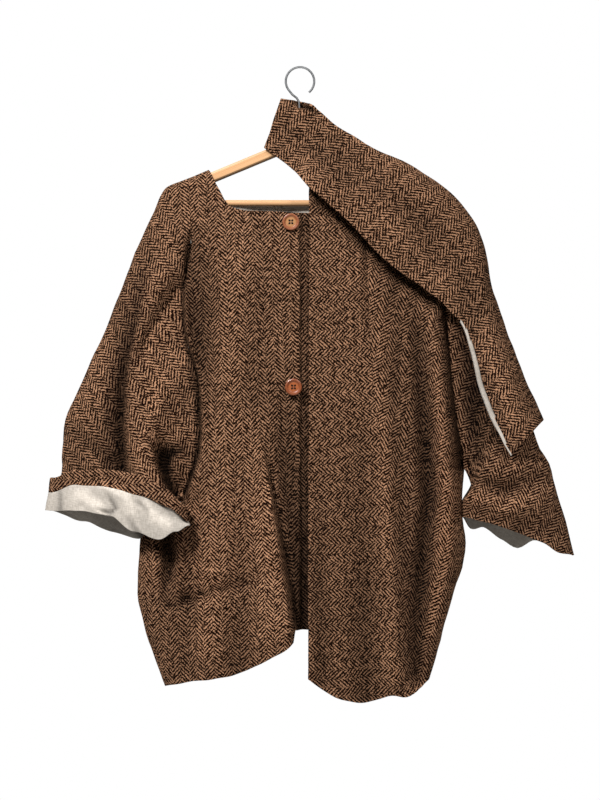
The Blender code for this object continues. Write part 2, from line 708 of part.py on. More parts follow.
def make_hanger(home, cutters, wood, steel):
    """The bent arms, the bar between their ends and the hook in a bore at the middle."""
    inner = ARM_END - ARM_FOOT
    end_top = ARM_TOP - ARM_SLOPE * ARM_END
    foot = BAR_Z - BAR_RADIUS - 3.0
    right = [(0, ARM_TOP - 0.5), (14, ARM_TOP - 14 * ARM_SLOPE), (ARM_END - 5, end_top + 2),
             (ARM_END, end_top - 4), (ARM_END, foot + 4), (ARM_END - 4, foot), (inner, foot),
             (inner, ARM_TOP - ARM_SLOPE * inner - ARM_TALL), (18, ARM_TOP - 18 * ARM_SLOPE - ARM_TALL),
             (0, ARM_TOP - ARM_TALL - 4)]
    outline = right + [(-x, z) for x, z in right[-2:0:-1]]
    curve = bpy.data.curves.new("hanger_outline", "CURVE")
    curve.dimensions = "2D"
    curve.fill_mode = "BOTH"
    curve.extrude = 0.5 * ARM_THICK * MM
    line = curve.splines.new("POLY")
    line.points.add(len(outline) - 1)
    line.use_cyclic_u = True
    for point, (x, z) in zip(line.points, outline):
        point.co = (x * MM, z * MM, 0.0, 1.0)
    flat = bpy.data.objects.new("hanger_outline", curve)
    home.objects.link(flat)
    flat.rotation_euler = (math.radians(90), 0.0, 0.0)
    bpy.context.view_layer.update()
    mesh = bpy.data.meshes.new_from_object(flat.evaluated_get(bpy.context.evaluated_depsgraph_get()))
    welded = bmesh.new()
    welded.from_mesh(mesh)
    bmesh.ops.remove_doubles(welded, verts=welded.verts, dist=1e-6)
    bmesh.ops.recalc_face_normals(welded, faces=welded.faces)
    welded.to_mesh(mesh)
    welded.free()
    arms = bpy.data.objects.new("hanger_arms", mesh)
    arms.matrix_world = flat.matrix_world.copy()
    home.objects.link(arms)
    bpy.data.objects.remove(flat, do_unlink=True)
    mesh.name = "hanger_arms"
    mesh.materials.clear()
    mesh.materials.append(wood)
    bpy.ops.mesh.primitive_cylinder_add(vertices=16, radius=(WIRE_RADIUS + GAP) * MM,
                                        depth=2 * BORE_DEPTH * MM, location=(0, 0, ARM_TOP * MM))
    bore = bpy.context.object
    bore.name = "hook_bore"
    put_away(bore, cutters)
    rounded = arms.modifiers.new("Round", "BEVEL")
    rounded.width = ARM_BEVEL * MM
    rounded.segments = 3
    rounded.limit_method = "ANGLE"
    rounded.angle_limit = math.radians(50)
    cut = arms.modifiers.new("Bore", "BOOLEAN")
    cut.object = bore
    cut.operation = "DIFFERENCE"

    bpy.ops.mesh.primitive_cylinder_add(vertices=20, radius=BAR_RADIUS * MM,
                                        depth=2 * (inner - GAP) * MM,
                                        location=(0, 0, BAR_Z * MM), rotation=(0, math.radians(90), 0))
    bar = bpy.context.object
    bar.name = "hanger_bar"
    bar.data.materials.append(wood)
    bar.data.shade_smooth()
    bar.data.set_sharp_from_angle(angle=math.radians(40))
    for owner in list(bar.users_collection):
        owner.objects.unlink(bar)
    home.objects.link(bar)

    centre_z = WIRE_RADIUS - HOOK_RADIUS
    route = [(0.0, ARM_TOP - BORE_DEPTH + 1.0), (0.0, ARM_TOP + 6), (-0.6, -72.0), (-1.6, -52.0),
             (-5.0, -46.0), (-12.0, -40.5)]
    for i in range(19):
        angle = math.radians(215 - 265 * i / 18)
        route.append((HOOK_RADIUS * math.cos(angle), centre_z + HOOK_RADIUS * math.sin(angle)))
    wire = bpy.data.curves.new("hanger_hook", "CURVE")
    wire.dimensions = "3D"
    wire.bevel_depth = WIRE_RADIUS * MM
    wire.bevel_resolution = 3
    wire.use_fill_caps = True
    run = wire.splines.new("POLY")
    run.points.add(len(route) - 1)
    for point, (x, z) in zip(run.points, route):
        point.co = (x * MM, 0.0, z * MM, 1.0)
    wire.materials.append(steel)
    home.objects.link(bpy.data.objects.new("hanger_hook", wire))


RIGHT_SLEEVE = (RIGHT_ARMHOLE, RIGHT_SLEEVE_TOP, RIGHT_SLEEVE_UNDER, RIGHT_SLEEVE_RINGS,
                RIGHT_SLEEVE_RIM, RIGHT_FRONT_FOLDS)
LEFT_SLEEVE = (LEFT_ARMHOLE, LEFT_SLEEVE_TOP, LEFT_SLEEVE_UNDER, LEFT_SLEEVE_RINGS,
               LEFT_SLEEVE_RIM, LEFT_FRONT_FOLDS)

remove_all()
jacket = collection("reversible_jacket")
tools = collection("cutters")
tweed = material("herringbone_tweed", (0.115, 0.06, 0.032), 0.95)
linen = material("linen_lining", (0.52, 0.47, 0.39), 0.9)
wood = material("beech", (0.6, 0.4, 0.22), 0.5)
steel = material("hook_steel", (0.6, 0.6, 0.6), 0.3, 1.0)
horn = material("button_horn", (0.28, 0.08, 0.025), 0.35)
make_fronts(jacket, tweed)
make_back(jacket, tweed)
make_sleeve("right_sleeve", RIGHT_SLEEVE, -1, jacket, tweed)
make_sleeve("left_sleeve", LEFT_SLEEVE, 1, jacket, tweed)
make_cuff(jacket, tweed, linen)
make_scarf(jacket, tools, tweed)
make_button("button_top", BUTTON_TOP, jacket, tools, horn)
make_button("button_lower", BUTTON_LOWER, jacket, tools, horn)
make_hanger(jacket, tools, wood, steel)
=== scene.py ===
# %% [markdown]
# # A reversible jacket on a wooden hanger
# The jacket is heavy tweed outside and linen inside. It hangs from a bent wooden hanger,
# with one sleeve end turned up and its scarf collar hung on the hook by a buttonhole.
# First the fixed model is loaded.

# %% Load the fixed model
import math

import bmesh
import bpy
import numpy as np
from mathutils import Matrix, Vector, noise


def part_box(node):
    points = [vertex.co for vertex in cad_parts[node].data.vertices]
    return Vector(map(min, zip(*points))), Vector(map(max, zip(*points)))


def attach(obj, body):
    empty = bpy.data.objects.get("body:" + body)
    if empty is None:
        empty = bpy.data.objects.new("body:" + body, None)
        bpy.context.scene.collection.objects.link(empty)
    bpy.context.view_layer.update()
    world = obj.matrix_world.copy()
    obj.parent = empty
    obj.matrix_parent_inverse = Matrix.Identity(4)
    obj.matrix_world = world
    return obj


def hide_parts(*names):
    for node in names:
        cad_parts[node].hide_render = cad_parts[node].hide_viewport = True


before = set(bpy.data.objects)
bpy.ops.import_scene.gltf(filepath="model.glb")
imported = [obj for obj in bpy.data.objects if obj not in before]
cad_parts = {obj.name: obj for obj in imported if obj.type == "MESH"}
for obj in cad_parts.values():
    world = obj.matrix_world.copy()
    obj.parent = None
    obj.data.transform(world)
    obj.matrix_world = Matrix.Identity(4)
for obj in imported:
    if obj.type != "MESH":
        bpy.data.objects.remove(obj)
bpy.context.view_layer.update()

MM = 0.001
scene = bpy.context.scene
print("fixed pieces:", sorted(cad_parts))

# %% [markdown]
# ## The eye
# All outlines below are read as a viewer sees them, level with the middle of the jacket and
# 1.8 m away. The camera stands there, so a piece that comes towards it is drawn smaller by
# the same amount as it would look larger. A portrait picture measures its sensor upright.

# %% Camera
EYE_DISTANCE = 1800.0
EYE_HEIGHT = -511.0
VIEW_TALL = 1232.0
SENSOR = 36.0

camera_data = bpy.data.cameras.new("camera")
camera_data.sensor_width = SENSOR
camera_data.lens = SENSOR * EYE_DISTANCE / VIEW_TALL
camera = bpy.data.objects.new("camera", camera_data)
camera.location = (0.0, -EYE_DISTANCE * MM, EYE_HEIGHT * MM)
camera.rotation_euler = (math.radians(90), 0.0, 0.0)
scene.collection.objects.link(camera)
scene.camera = camera
print("lens in mm:", round(camera_data.lens, 1))

# %% [markdown]
# ## Light
# Two large soft lights hang in front and above, the left one stronger, and the room adds a
# little from all round. Light from above lets each fold and the edge of the scarf throw a
# soft shade downwards. The wall far behind glows white by itself, so it takes no shadows.

# %% Lights, room, wall and floor
def area_light(name, place, target, size, watts):
    """A square lamp that faces a target."""
    lamp = bpy.data.lights.new(name, "AREA")
    lamp.size = size
    lamp.energy = watts
    made = bpy.data.objects.new(name, lamp)
    made.location = place
    made.rotation_euler = (Vector(target) - Vector(place)).to_track_quat("-Z", "Y").to_euler()
    scene.collection.objects.link(made)
    return made


def sheet_mesh(name, half, place, tilt):
    """A large flat sheet for the stage."""
    plane = bmesh.new()
    bmesh.ops.create_grid(plane, x_segments=2, y_segments=2, size=half)
    mesh = bpy.data.meshes.new(name)
    plane.to_mesh(mesh)
    plane.free()
    made = bpy.data.objects.new(name, mesh)
    made.location = place
    made.rotation_euler = (tilt, 0.0, 0.0)
    scene.collection.objects.link(made)
    return made


area_light("left_softbox", (-1.5, -2.5, 2.1), (0.0, 0.0, -0.5), 0.8, 200)
area_light("right_softbox", (1.7, -2.6, 1.7), (0.0, 0.0, -0.5), 0.8, 46)

world = bpy.data.worlds.new("pale_room")
world.use_nodes = True
world.node_tree.nodes["Background"].inputs["Color"].default_value = (1.0, 1.0, 1.0, 1.0)
world.node_tree.nodes["Background"].inputs["Strength"].default_value = 0.14
scene.world = world
scene.view_settings.view_transform = "Standard"

FLOOR_Z = -2.8            # below what the camera sees, as in the photograph
WALL_Y = 4.0
floor = sheet_mesh("floor", 6.0, (0.0, WALL_Y - 6.0, FLOOR_Z), 0.0)
wall = sheet_mesh("white_wall", 6.0, (0.0, WALL_Y, FLOOR_Z + 6.0), math.radians(90))

# %% [markdown]
# ## Colours and shader nodes
# Colours are written as on a colour card, in sRGB, and turned to the linear values that a
# shader adds up. One small function adds every shader node, with its settings and links.

# %% Colour and node helpers
def linear(code):
    """The linear colour of an sRGB hex code."""
    out = []
    for i in (0, 2, 4):
        c = int(code[i:i + 2], 16) / 255
        out.append(c / 12.92 if c <= 0.04045 else ((c + 0.055) / 1.055) ** 2.4)
    return (*out, 1.0)


def add(tree, kind, values=None, links=None, **settings):
    """Adds a shader node with its settings, its fixed values and what feeds it."""
    made = tree.nodes.new("ShaderNode" + kind)
    for key, value in settings.items():
        setattr(made, key, value)
    for key, value in (values or {}).items():
        made.inputs[key].default_value = value
    for key, source in (links or {}).items():
        tree.links.new(source, made.inputs[key])
    return made


def maths(tree, operation, a, b=0.0):
    """One step of arithmetic on sockets or numbers."""
    values = {i: v for i, v in enumerate((a, b)) if isinstance(v, (int, float))}
    links = {i: v for i, v in enumerate((a, b)) if i not in values}
    return add(tree, "Math", values, links, operation=operation).outputs[0]


def blank(name):
    """A material with only its Principled shader, and that shader."""
    made = bpy.data.materials.new(name)
    made.use_nodes = True
    return made, made.node_tree, made.node_tree.nodes["Principled BSDF"]


floor_finish, tree, shader = blank("pale floor")
shader.inputs["Base Color"].default_value = linear("e9e8e5")
shader.inputs["Roughness"].default_value = 0.8
floor.data.materials.append(floor_finish)
wall_finish, tree, shader = blank("white wall")
shader.inputs["Base Color"].default_value = (0.0, 0.0, 0.0, 1.0)
shader.inputs["Roughness"].default_value = 1.0
shader.inputs["Specular IOR Level"].default_value = 0.0
shader.inputs["Emission Color"].default_value = (1.0, 1.0, 1.0, 1.0)
shader.inputs["Emission Strength"].default_value = 1.0
wall.data.materials.append(wall_finish)
wall.visible_diffuse = False      # the camera sees the wall, but the lamps alone light the cloth
wall.visible_glossy = False
print("white of the floor:", [round(v, 2) for v in linear("e9e8e5")[:3]])

# %% [markdown]
# ## Herringbone tweed
# The weave is drawn from flat cutting coordinates in metres, kept on each piece as the map
# "cloth". Stripes slant one way in one column and the other way in the next, with half a
# stripe's break between. The stripes are tan wool on a nearly black brown, and neither is
# even: the yarn is spun from mixed wool, so tone changes from stripe to stripe and along it.
# A felted nap softens every edge and gives a pale sheen where the cloth turns away. Shade is
# painted into the colour: each piece carries a number of painted shade, from 0 on open cloth
# to 1 at the bottom of a fold, and the colour falls with it. A little below zero, on a ridge,
# it is a painted highlight.

# %% Tweed material
COLUMN = 13.6             # mm across one column of the herringbone
STRIPE = 6.0              # mm from one stripe to the next along a column
YARN_DARK = linear("120602")
YARN_TAN = linear("a0785c")

tweed, tree, shader = blank("herringbone tweed")
cloth_map = add(tree, "UVMap", uv_map="cloth").outputs[0]
drift = add(tree, "TexNoise", {"Scale": 26.0, "Detail": 2.0}, {"Vector": cloth_map})
wander = add(tree, "VectorMath", {1: (0.5, 0.5, 0.5)}, {0: drift.outputs["Color"]},
             operation="SUBTRACT").outputs[0]
wander = add(tree, "VectorMath", {"Scale": 0.0042}, {0: wander}, operation="SCALE").outputs[0]
loose_map = add(tree, "VectorMath", None, {0: cloth_map, 1: wander}, operation="ADD").outputs[0]
split = add(tree, "SeparateXYZ", None, {0: loose_map})
across = maths(tree, "MULTIPLY", split.outputs[0], 1000.0)
down = maths(tree, "MULTIPLY", split.outputs[1], 1000.0)
zigzag = maths(tree, "PINGPONG", across, COLUMN)
column_number = maths(tree, "FLOOR", maths(tree, "DIVIDE", across, COLUMN))
column_break = maths(tree, "MULTIPLY", maths(tree, "FLOORED_MODULO", column_number, 2.0), 0.5 * STRIPE)
run = maths(tree, "ADD", maths(tree, "ADD", down, zigzag), column_break)
stripe = maths(tree, "MULTIPLY", maths(tree, "PINGPONG", maths(tree, "DIVIDE", run, STRIPE), 0.5), 2.0)
fibre = add(tree, "TexNoise", {"Scale": 480.0, "Detail": 2.0, "Roughness": 0.7}, {"Vector": cloth_map})
heather = add(tree, "TexNoise", {"Scale": 150.0, "Detail": 4.0, "Roughness": 0.7}, {"Vector": cloth_map})
ragged = maths(tree, "MULTIPLY", maths(tree, "SUBTRACT", fibre.outputs["Fac"], 0.5), 3.0)
ragged = maths(tree, "ADD", stripe, ragged)
ragged = maths(tree, "ADD", ragged, maths(tree, "MULTIPLY",
                                        maths(tree, "SUBTRACT", heather.outputs["Fac"], 0.5), 2.3))
bright = add(tree, "MapRange", {"From Min": 0.45, "From Max": 0.82}, {"Value": ragged},
             interpolation_type="SMOOTHSTEP").outputs[0]
tone = add(tree, "ValToRGB", None, {"Fac": bright})
tone.color_ramp.elements[0].color = YARN_DARK
tone.color_ramp.elements[1].color = YARN_TAN
middle = tone.color_ramp.elements.new(0.45)
middle.color = linear("3f2311")
patches = add(tree, "TexNoise", {"Scale": 60.0, "Detail": 5.0, "Roughness": 0.75}, {"Vector": cloth_map})
# painted shade: the colour falls with each point's painted shade, and a ridge's painted highlight lifts it a
# little
painted_shade = add(tree, "Attribute", attribute_name="painted_shade").outputs["Fac"]
painted_shading = maths(tree, "SUBTRACT", 1.0, maths(tree, "MULTIPLY", painted_shade, 0.93))
uneven = maths(tree, "ADD", maths(tree, "MULTIPLY", patches.outputs["Fac"], 1.2), 0.4)
mixed = add(tree, "HueSaturation", None,
            {"Color": tone.outputs["Color"], "Value": maths(tree, "MULTIPLY", uneven, painted_shading)})
tree.links.new(mixed.outputs["Color"], shader.inputs["Base Color"])
height = maths(tree, "ADD", maths(tree, "MULTIPLY", bright, 0.6), fibre.outputs["Fac"])
bump = add(tree, "Bump", {"Strength": 0.55, "Distance": 0.0008}, {"Height": height})
tree.links.new(bump.outputs["Normal"], shader.inputs["Normal"])
shader.inputs["Roughness"].default_value = 0.95
shader.inputs["Specular IOR Level"].default_value = 0.05
shader.inputs["Sheen Weight"].default_value = 0.02
shader.inputs["Sheen Roughness"].default_value = 0.5
shader.inputs["Sheen Tint"].default_value = linear("c99a72")
print("tweed repeats every", 2 * COLUMN, "mm across")

# %% [markdown]
# ## Linen
# A plain weave of undyed greige yarn. Real yarns are under half a millimetre apart, too fine
# to draw from here, so they are drawn at 1.1 mm with the thick places, or slubs, that linen
# has along both yarn directions.

# %% Linen material
LINEN_YARN = 1.1

linen, tree, shader = blank("greige linen")
cloth_map = add(tree, "UVMap", uv_map="cloth").outputs[0]
split = add(tree, "SeparateXYZ", None, {0: cloth_map})
turns = 2000.0 * math.pi / LINEN_YARN
over = maths(tree, "SINE", maths(tree, "MULTIPLY", split.outputs[0], turns))
under = maths(tree, "SINE", maths(tree, "MULTIPLY", split.outputs[1], turns))
weave = maths(tree, "MULTIPLY", over, under)
along_map = add(tree, "Mapping", {"Scale": (700.0, 110.0, 1.0)}, {"Vector": cloth_map})
cross_map = add(tree, "Mapping", {"Scale": (110.0, 700.0, 1.0)}, {"Vector": cloth_map})
slub_a = add(tree, "TexNoise", {"Scale": 1.0, "Detail": 2.0}, {"Vector": along_map.outputs[0]})
slub_b = add(tree, "TexNoise", {"Scale": 1.0, "Detail": 2.0}, {"Vector": cross_map.outputs[0]})
slubs = maths(tree, "ADD", slub_a.outputs["Fac"], slub_b.outputs["Fac"])
shade = add(tree, "MapRange", {"From Min": 0.78, "From Max": 1.22}, {"Value": slubs}).outputs[0]
tone = add(tree, "ValToRGB", None, {"Fac": shade})
tone.color_ramp.elements[0].color = linear("aca398")
tone.color_ramp.elements[1].color = linear("c9c0b5")
# painted shade on the linen too, from the same number as on the tweed, with a painted highlight on ridges
painted_shade = add(tree, "Attribute", attribute_name="painted_shade").outputs["Fac"]
painted_shading = maths(tree, "SUBTRACT", 1.0, maths(tree, "MULTIPLY", painted_shade, 0.8))
mixed = add(tree, "HueSaturation", None, {"Color": tone.outputs["Color"], "Value": painted_shading})
tree.links.new(mixed.outputs["Color"], shader.inputs["Base Color"])
height = maths(tree, "ADD", maths(tree, "MULTIPLY", weave, 0.25), slubs)
bump = add(tree, "Bump", {"Strength": 0.35, "Distance": 0.0004}, {"Height": height})
tree.links.new(bump.outputs["Normal"], shader.inputs["Normal"])
shader.inputs["Roughness"].default_value = 0.85
shader.inputs["Specular IOR Level"].default_value = 0.3
shader.inputs["Sheen Weight"].default_value = 0.08
print("linen yarns every", LINEN_YARN, "mm")

# %% [markdown]
# ## Wood, steel and horn
# The hanger is pale beech: fine streaks run along each arm, with the short dark flecks that
# mark this wood, and a thin line of painted shade where the lower edge is grooved. The hook is
# drawn steel wire. The buttons are turned horn, darker round the raised rim than in the dish,
# and each of their four holes is painted dark for its thread and the shade inside it.

# %% Hanger materials
ARM_SLOPE = 0.415
ARM_TOP = -104.2
ARM_TALL = 17.0


def beech(name, level):
    """Pale beech. level is true for the straight bar, false for the sloped arms."""
    made, tree, shader = blank(name)
    spot = add(tree, "TexCoord").outputs["Object"]
    split = add(tree, "SeparateXYZ", None, {0: spot})
    slope = 0.0 if level else ARM_SLOPE
    rise = maths(tree, "MULTIPLY", maths(tree, "ABSOLUTE", split.outputs[0]), slope)
    up = maths(tree, "ADD", split.outputs[2], rise)
    lie = add(tree, "CombineXYZ", None, {0: split.outputs[0], 1: split.outputs[1], 2: up}).outputs[0]
    stretched = add(tree, "Mapping", {"Scale": (9.0, 420.0, 420.0)}, {"Vector": lie}).outputs[0]
    streaks = add(tree, "TexNoise", {"Scale": 1.0, "Detail": 4.0, "Roughness": 0.6},
                  {"Vector": stretched})
    fleck_map = add(tree, "Mapping", {"Scale": (150.0, 900.0, 900.0)}, {"Vector": lie}).outputs[0]
    flecks = add(tree, "TexVoronoi", {"Scale": 1.0}, {"Vector": fleck_map})
    fleck = add(tree, "MapRange", {"From Min": 0.12, "From Max": 0.3}, {"Value": flecks.outputs[0]})
    tone = add(tree, "ValToRGB", None, {"Fac": streaks.outputs["Fac"]})
    tone.color_ramp.elements[0].position = 0.3
    tone.color_ramp.elements[0].color = linear("c7935f")
    tone.color_ramp.elements[1].position = 0.7
    tone.color_ramp.elements[1].color = linear("e3b383")
    value = maths(tree, "ADD", maths(tree, "MULTIPLY", fleck.outputs[0], 0.12), 0.88)
    if not level:
        # painted shade: the lowest few mm of each arm, where its lower edge is grooved, are darkened
        edge = maths(tree, "ADD", maths(tree, "MULTIPLY", up, 1000.0), ARM_TALL - ARM_TOP)
        groove_painted_shade = add(tree, "MapRange", {"From Min": 2.4, "From Max": 4.2, "To Min": 0.35},
                     {"Value": edge}, interpolation_type="SMOOTHSTEP")
        value = maths(tree, "MULTIPLY", value, groove_painted_shade.outputs[0])
    finish = add(tree, "HueSaturation", None, {"Color": tone.outputs["Color"], "Value": value})
    tree.links.new(finish.outputs["Color"], shader.inputs["Base Color"])
    bump = add(tree, "Bump", {"Strength": 0.2, "Distance": 0.0003}, {"Height": streaks.outputs["Fac"]})
    tree.links.new(bump.outputs["Normal"], shader.inputs["Normal"])
    shader.inputs["Roughness"].default_value = 0.45
    return made


steel, tree, shader = blank("drawn steel wire")
spot = add(tree, "TexCoord").outputs["Object"]
rubbed = add(tree, "TexNoise", {"Scale": 400.0, "Detail": 3.0}, {"Vector": spot})
rough = add(tree, "MapRange", {"To Min": 0.22, "To Max": 0.45}, {"Value": rubbed.outputs["Fac"]})
tree.links.new(rough.outputs[0], shader.inputs["Roughness"])
shader.inputs["Base Color"].default_value = linear("b4b6b8")
shader.inputs["Metallic"].default_value = 1.0


HOLE_OUT = 0.0027         # metres from the middle of a button to each of its four holes
HOLE_TURN = 45.0


def horn(name, centre, dish, rim):
    """Turned horn: one colour in the dish, a deeper one from the rim outwards."""
    made, tree, shader = blank(name)
    spot = add(tree, "TexCoord").outputs["Object"]
    flat = add(tree, "VectorMath", {1: (1.0, 0.0, 1.0)}, {0: spot}, operation="MULTIPLY").outputs[0]
    middle = (centre[0], 0.0, centre[2])
    far = add(tree, "VectorMath", {1: middle}, {0: flat}, operation="DISTANCE").outputs["Value"]
    cloud = add(tree, "TexNoise", {"Scale": 190.0, "Detail": 3.0}, {"Vector": spot})
    wobble = maths(tree, "MULTIPLY", maths(tree, "SUBTRACT", cloud.outputs["Fac"], 0.5), 0.004)
    ring = add(tree, "MapRange", {"From Min": 0.0055, "From Max": 0.0095},
               {"Value": maths(tree, "ADD", far, wobble)}, interpolation_type="SMOOTHSTEP")
    tone = add(tree, "ValToRGB", None, {"Fac": ring.outputs[0]})
    tone.color_ramp.elements[0].color = dish
    tone.color_ramp.elements[1].color = rim
    split = add(tree, "SeparateXYZ", None, {0: spot})
    side = maths(tree, "SUBTRACT", split.outputs[0], centre[0])
    up = maths(tree, "SUBTRACT", split.outputs[2], centre[2])
    turn = math.radians(45 - HOLE_TURN)
    a = maths(tree, "ADD", maths(tree, "MULTIPLY", side, math.cos(turn)),
              maths(tree, "MULTIPLY", up, math.sin(turn)))
    b = maths(tree, "SUBTRACT", maths(tree, "MULTIPLY", up, math.cos(turn)),
              maths(tree, "MULTIPLY", side, math.sin(turn)))
    a = maths(tree, "SUBTRACT", maths(tree, "ABSOLUTE", a), HOLE_OUT * 0.7071)
    b = maths(tree, "SUBTRACT", maths(tree, "ABSOLUTE", b), HOLE_OUT * 0.7071)
    off = maths(tree, "SQRT", maths(tree, "ADD", maths(tree, "MULTIPLY", a, a), maths(tree, "MULTIPLY", b, b)))
    # dark thread and painted shade in each of the four holes
    thread_and_hole_shade = add(tree, "MapRange", {"From Min": 0.0012, "From Max": 0.0021, "To Min": 0.06},
                 {"Value": off}, interpolation_type="SMOOTHSTEP").outputs[0]
    mixed = add(tree, "HueSaturation", None, {"Color": tone.outputs["Color"], "Value": thread_and_hole_shade})
    tree.links.new(mixed.outputs["Color"], shader.inputs["Base Color"])
    shader.inputs["Roughness"].default_value = 0.4
    shader.inputs["IOR"].default_value = 1.54
    shader.inputs["Coat Weight"].default_value = 0.05
    return made


def refinish(node, finish):
    """Gives a fixed piece a better material, and leaves its shape alone."""
    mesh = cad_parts[node].data
    for i in range(len(mesh.materials)):
        mesh.materials[i] = finish
    return node


def middle_of(node):
    """The centre of a fixed piece."""
    low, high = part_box(node)
    return (Vector(low) + Vector(high)) / 2


refinish("hanger_arms", beech("beech arms", False))
refinish("hanger_bar", beech("beech bar", True))
refinish("hanger_hook", steel)
refinish("button_top", horn("pale horn", middle_of("button_top"), linear("aa784a"), linear("8c4e2b")))
refinish("button_lower", horn("amber horn", middle_of("button_lower"), linear("a0552a"),
                              linear("84431f")))
print("buttons at", [round(v, 3) for v in middle_of("button_top")],
      [round(v, 3) for v in middle_of("button_lower")])

# %% [markdown]
# ## Smooth lines and soft folds
# A garment is drawn from few points, joined by smooth lines. A fold is a line too: cloth is
# pressed in along it, or stands out where the depth is below zero. Each side of a fold has
# its own width, and the depth changes along it, because real folds are never even.

# %% Line helpers
def row_at(rows, share):
    """The smooth value of a table at a share of its rows."""
    place = min(max(share, 0.0), 1.0) * (len(rows) - 1)
    i = min(int(place), len(rows) - 2)
    f = place - i
    before = rows[max(i - 1, 0)]
    after = rows[min(i + 2, len(rows) - 1)]
    out = []
    for a, b, c, d in zip(before, rows[i], rows[i + 1], after):
        out.append(0.5 * (2 * b + (c - a) * f + (2 * a - 5 * b + 4 * c - d) * f * f
                          + (3 * b - a - 3 * c + d) * f ** 3))
    return out


def along(line, share):
    """The point of a smooth line at a share of its length."""
    steps = [math.dist(a, b) for a, b in zip(line, line[1:])]
    left = min(max(share, 0.0), 1.0) * sum(steps)
    for i, step in enumerate(steps):
        if left <= step or i == len(steps) - 1:
            return row_at(line, (i + min(left / step, 1.0)) / (len(line) - 1))
        left -= step
    return line[-1]


def eased(f):
    """0 to 1 with a soft start and end."""
    f = min(max(f, 0.0), 1.0)
    return f * f * (3 - 2 * f)


def by_share(rows, share):
    """The other columns of a table whose first column is the share."""
    for a, b in zip(rows, rows[1:]):
        if share <= b[0] or b is rows[-1]:
            f = eased((share - a[0]) / (b[0] - a[0]))
            return [p + (q - p) * f for p, q in zip(a[1:], b[1:])]
    return rows[-1][1:]


def near(line, x, z):
    """The distance from a point to a line of straight stretches."""
    best = 1e9
    for (ax, az), (bx, bz) in zip(line, line[1:]):
        dx = bx - ax
        dz = bz - az
        f = min(max(((x - ax) * dx + (z - az) * dz) / (dx * dx + dz * dz), 0.0), 1.0)
        best = min(best, math.hypot(x - ax - f * dx, z - az - f * dz))
    return best


def uneven(x, z):
    """The small unevenness of cloth that has seen long wear, in mm."""
    broad = noise.noise(Vector((x / 62, z / 84, 0.3)))
    fine = noise.noise(Vector((x / 21, z / 27, 4.7)))
    return 2.2 * broad + 0.8 * fine


def pressed(table, x, z):
    """How far the folds of a table press the cloth in at a place."""
    total = uneven(x, z)
    for points, right, left, depths in table:
        best = 1e9
        for i in range(len(points) - 1):
            (ax, az), (bx, bz) = points[i], points[i + 1]
            dx = bx - ax
            dz = bz - az
            f = min(max(((x - ax) * dx + (z - az) * dz) / (dx * dx + dz * dz), 0.0), 1.0)
            ox = x - ax - f * dx
            oz = z - az - f * dz
            far = math.hypot(ox, oz)
            if far < best:
                best = far
                side = eased(0.5 + (dx * oz - dz * ox) / (math.hypot(dx, dz) * 8.0))
                deep = depths[i] + (depths[i + 1] - depths[i]) * f
        width = left + (right - left) * side
        if best < 2.6 * width:
            total += deep * math.exp(-(best / width) ** 2)
    return total


print("middle of a line:", along([(0, 0), (10, 4), (20, 0)], 0.5))

# %% [markdown]
# ## The outline of the jacket
# Every edge is a short table of points, x and z in millimetres. Sides are the wearer's, so
# the right front is on the viewer's left. The left front has a band cut on the cross grain.

# %% Edge lines
RIGHT_SHOULDER = [(-203, -182.5), (-138.6, -155.5)]
LEFT_SHOULDER = [(203, -182.5), (138.6, -155.5)]
RIGHT_NECK = [(-138.6, -155.5), (-129, -178), (-112, -208), (-92, -218), (-50, -221), (26, -222)]
RIGHT_ARMHOLE = [(-203, -182.5), (-190, -250), (-181, -337), (-177, -410), (-156, -530),
                 (-159, -590), (-184, -668)]
LEFT_ARMHOLE = [(203, -182.5), (212, -260), (223, -357), (229, -430), (237, -510),
                (246, -570), (254, -617)]
RIGHT_SIDE = [(-184, -668), (-194, -676), (-198, -692), (-241, -722), (-247, -745),
              (-250, -790), (-248, -825), (-231, -887), (-207, -952)]
LEFT_SIDE = [(254, -617), (251, -650), (250, -690), (256, -728), (251, -765), (236, -807),
             (222, -860), (199, -942)]
RIGHT_HEM = [(-207, -952), (-182, -947), (-105, -936), (-60, -917), (-32, -903), (-14, -890), (-8, -880),
             (-7, -866), (26, -865)]
RIGHT_FRONT_EDGE = [(26, -222), (26, -540), (26, -865)]
BAND_TOP = [(14, -176), (60, -170), (100, -163), (120, -159)]
BAND_EDGE = [(14, -176), (14, -400), (13, -700), (13, -942)]
BAND_SEAM = [(120, -159), (104, -240), (103, -330), (112, -456), (123, -581), (132, -681),
             (143, -788), (160, -852), (187, -953)]
BAND_HEM = [(13, -942), (29, -952), (53, -969), (75, -975), (102, -977), (140, -967),
            (162, -970), (177, -963), (187, -953)]
LEFT_TOP = [(120, -159), (138.6, -155.5), (203, -182.5)]
LEFT_HEM = [(187, -953), (199, -942)]
BACK_NECK = [(-138.6, -155.5), (-131, -179), (-118, -200), (-98, -204), (0, -205), (90, -204),
             (118, -190), (138.6, -155.5)]
BACK_HEM = [(-207, -952), (-150, -930), (-80, -880), (0, -852), (80, -878), (140, -920),
            (199, -942)]
RIGHT_SLEEVE_TOP = [(-203, -182.5), (-216, -190), (-226, -203), (-239, -248), (-257, -290),
                    (-274, -337), (-299, -403), (-323, -453), (-343, -499), (-362, -542),
                    (-366, -590), (-368, -625), (-378, -655), (-386, -678)]
RIGHT_SLEEVE_UNDER = [(-184, -668), (-187, -669), (-189, -680), (-188, -691)]
LEFT_SLEEVE_TOP = [(203, -182.5), (217, -190), (232, -206), (250, -240), (264, -272),
                   (275, -310), (283, -345), (303, -408), (327, -470), (354, -540),
                   (368, -582), (385, -613), (393, -645), (408, -696), (422, -750)]
LEFT_SLEEVE_UNDER = [(254, -617), (260, -629), (264, -645), (264, -656), (253, -663),
                     (249, -672), (249, -692)]
print("jacket spans", RIGHT_SLEEVE_TOP[-1][0], "to", LEFT_SLEEVE_TOP[-1][0], "mm")
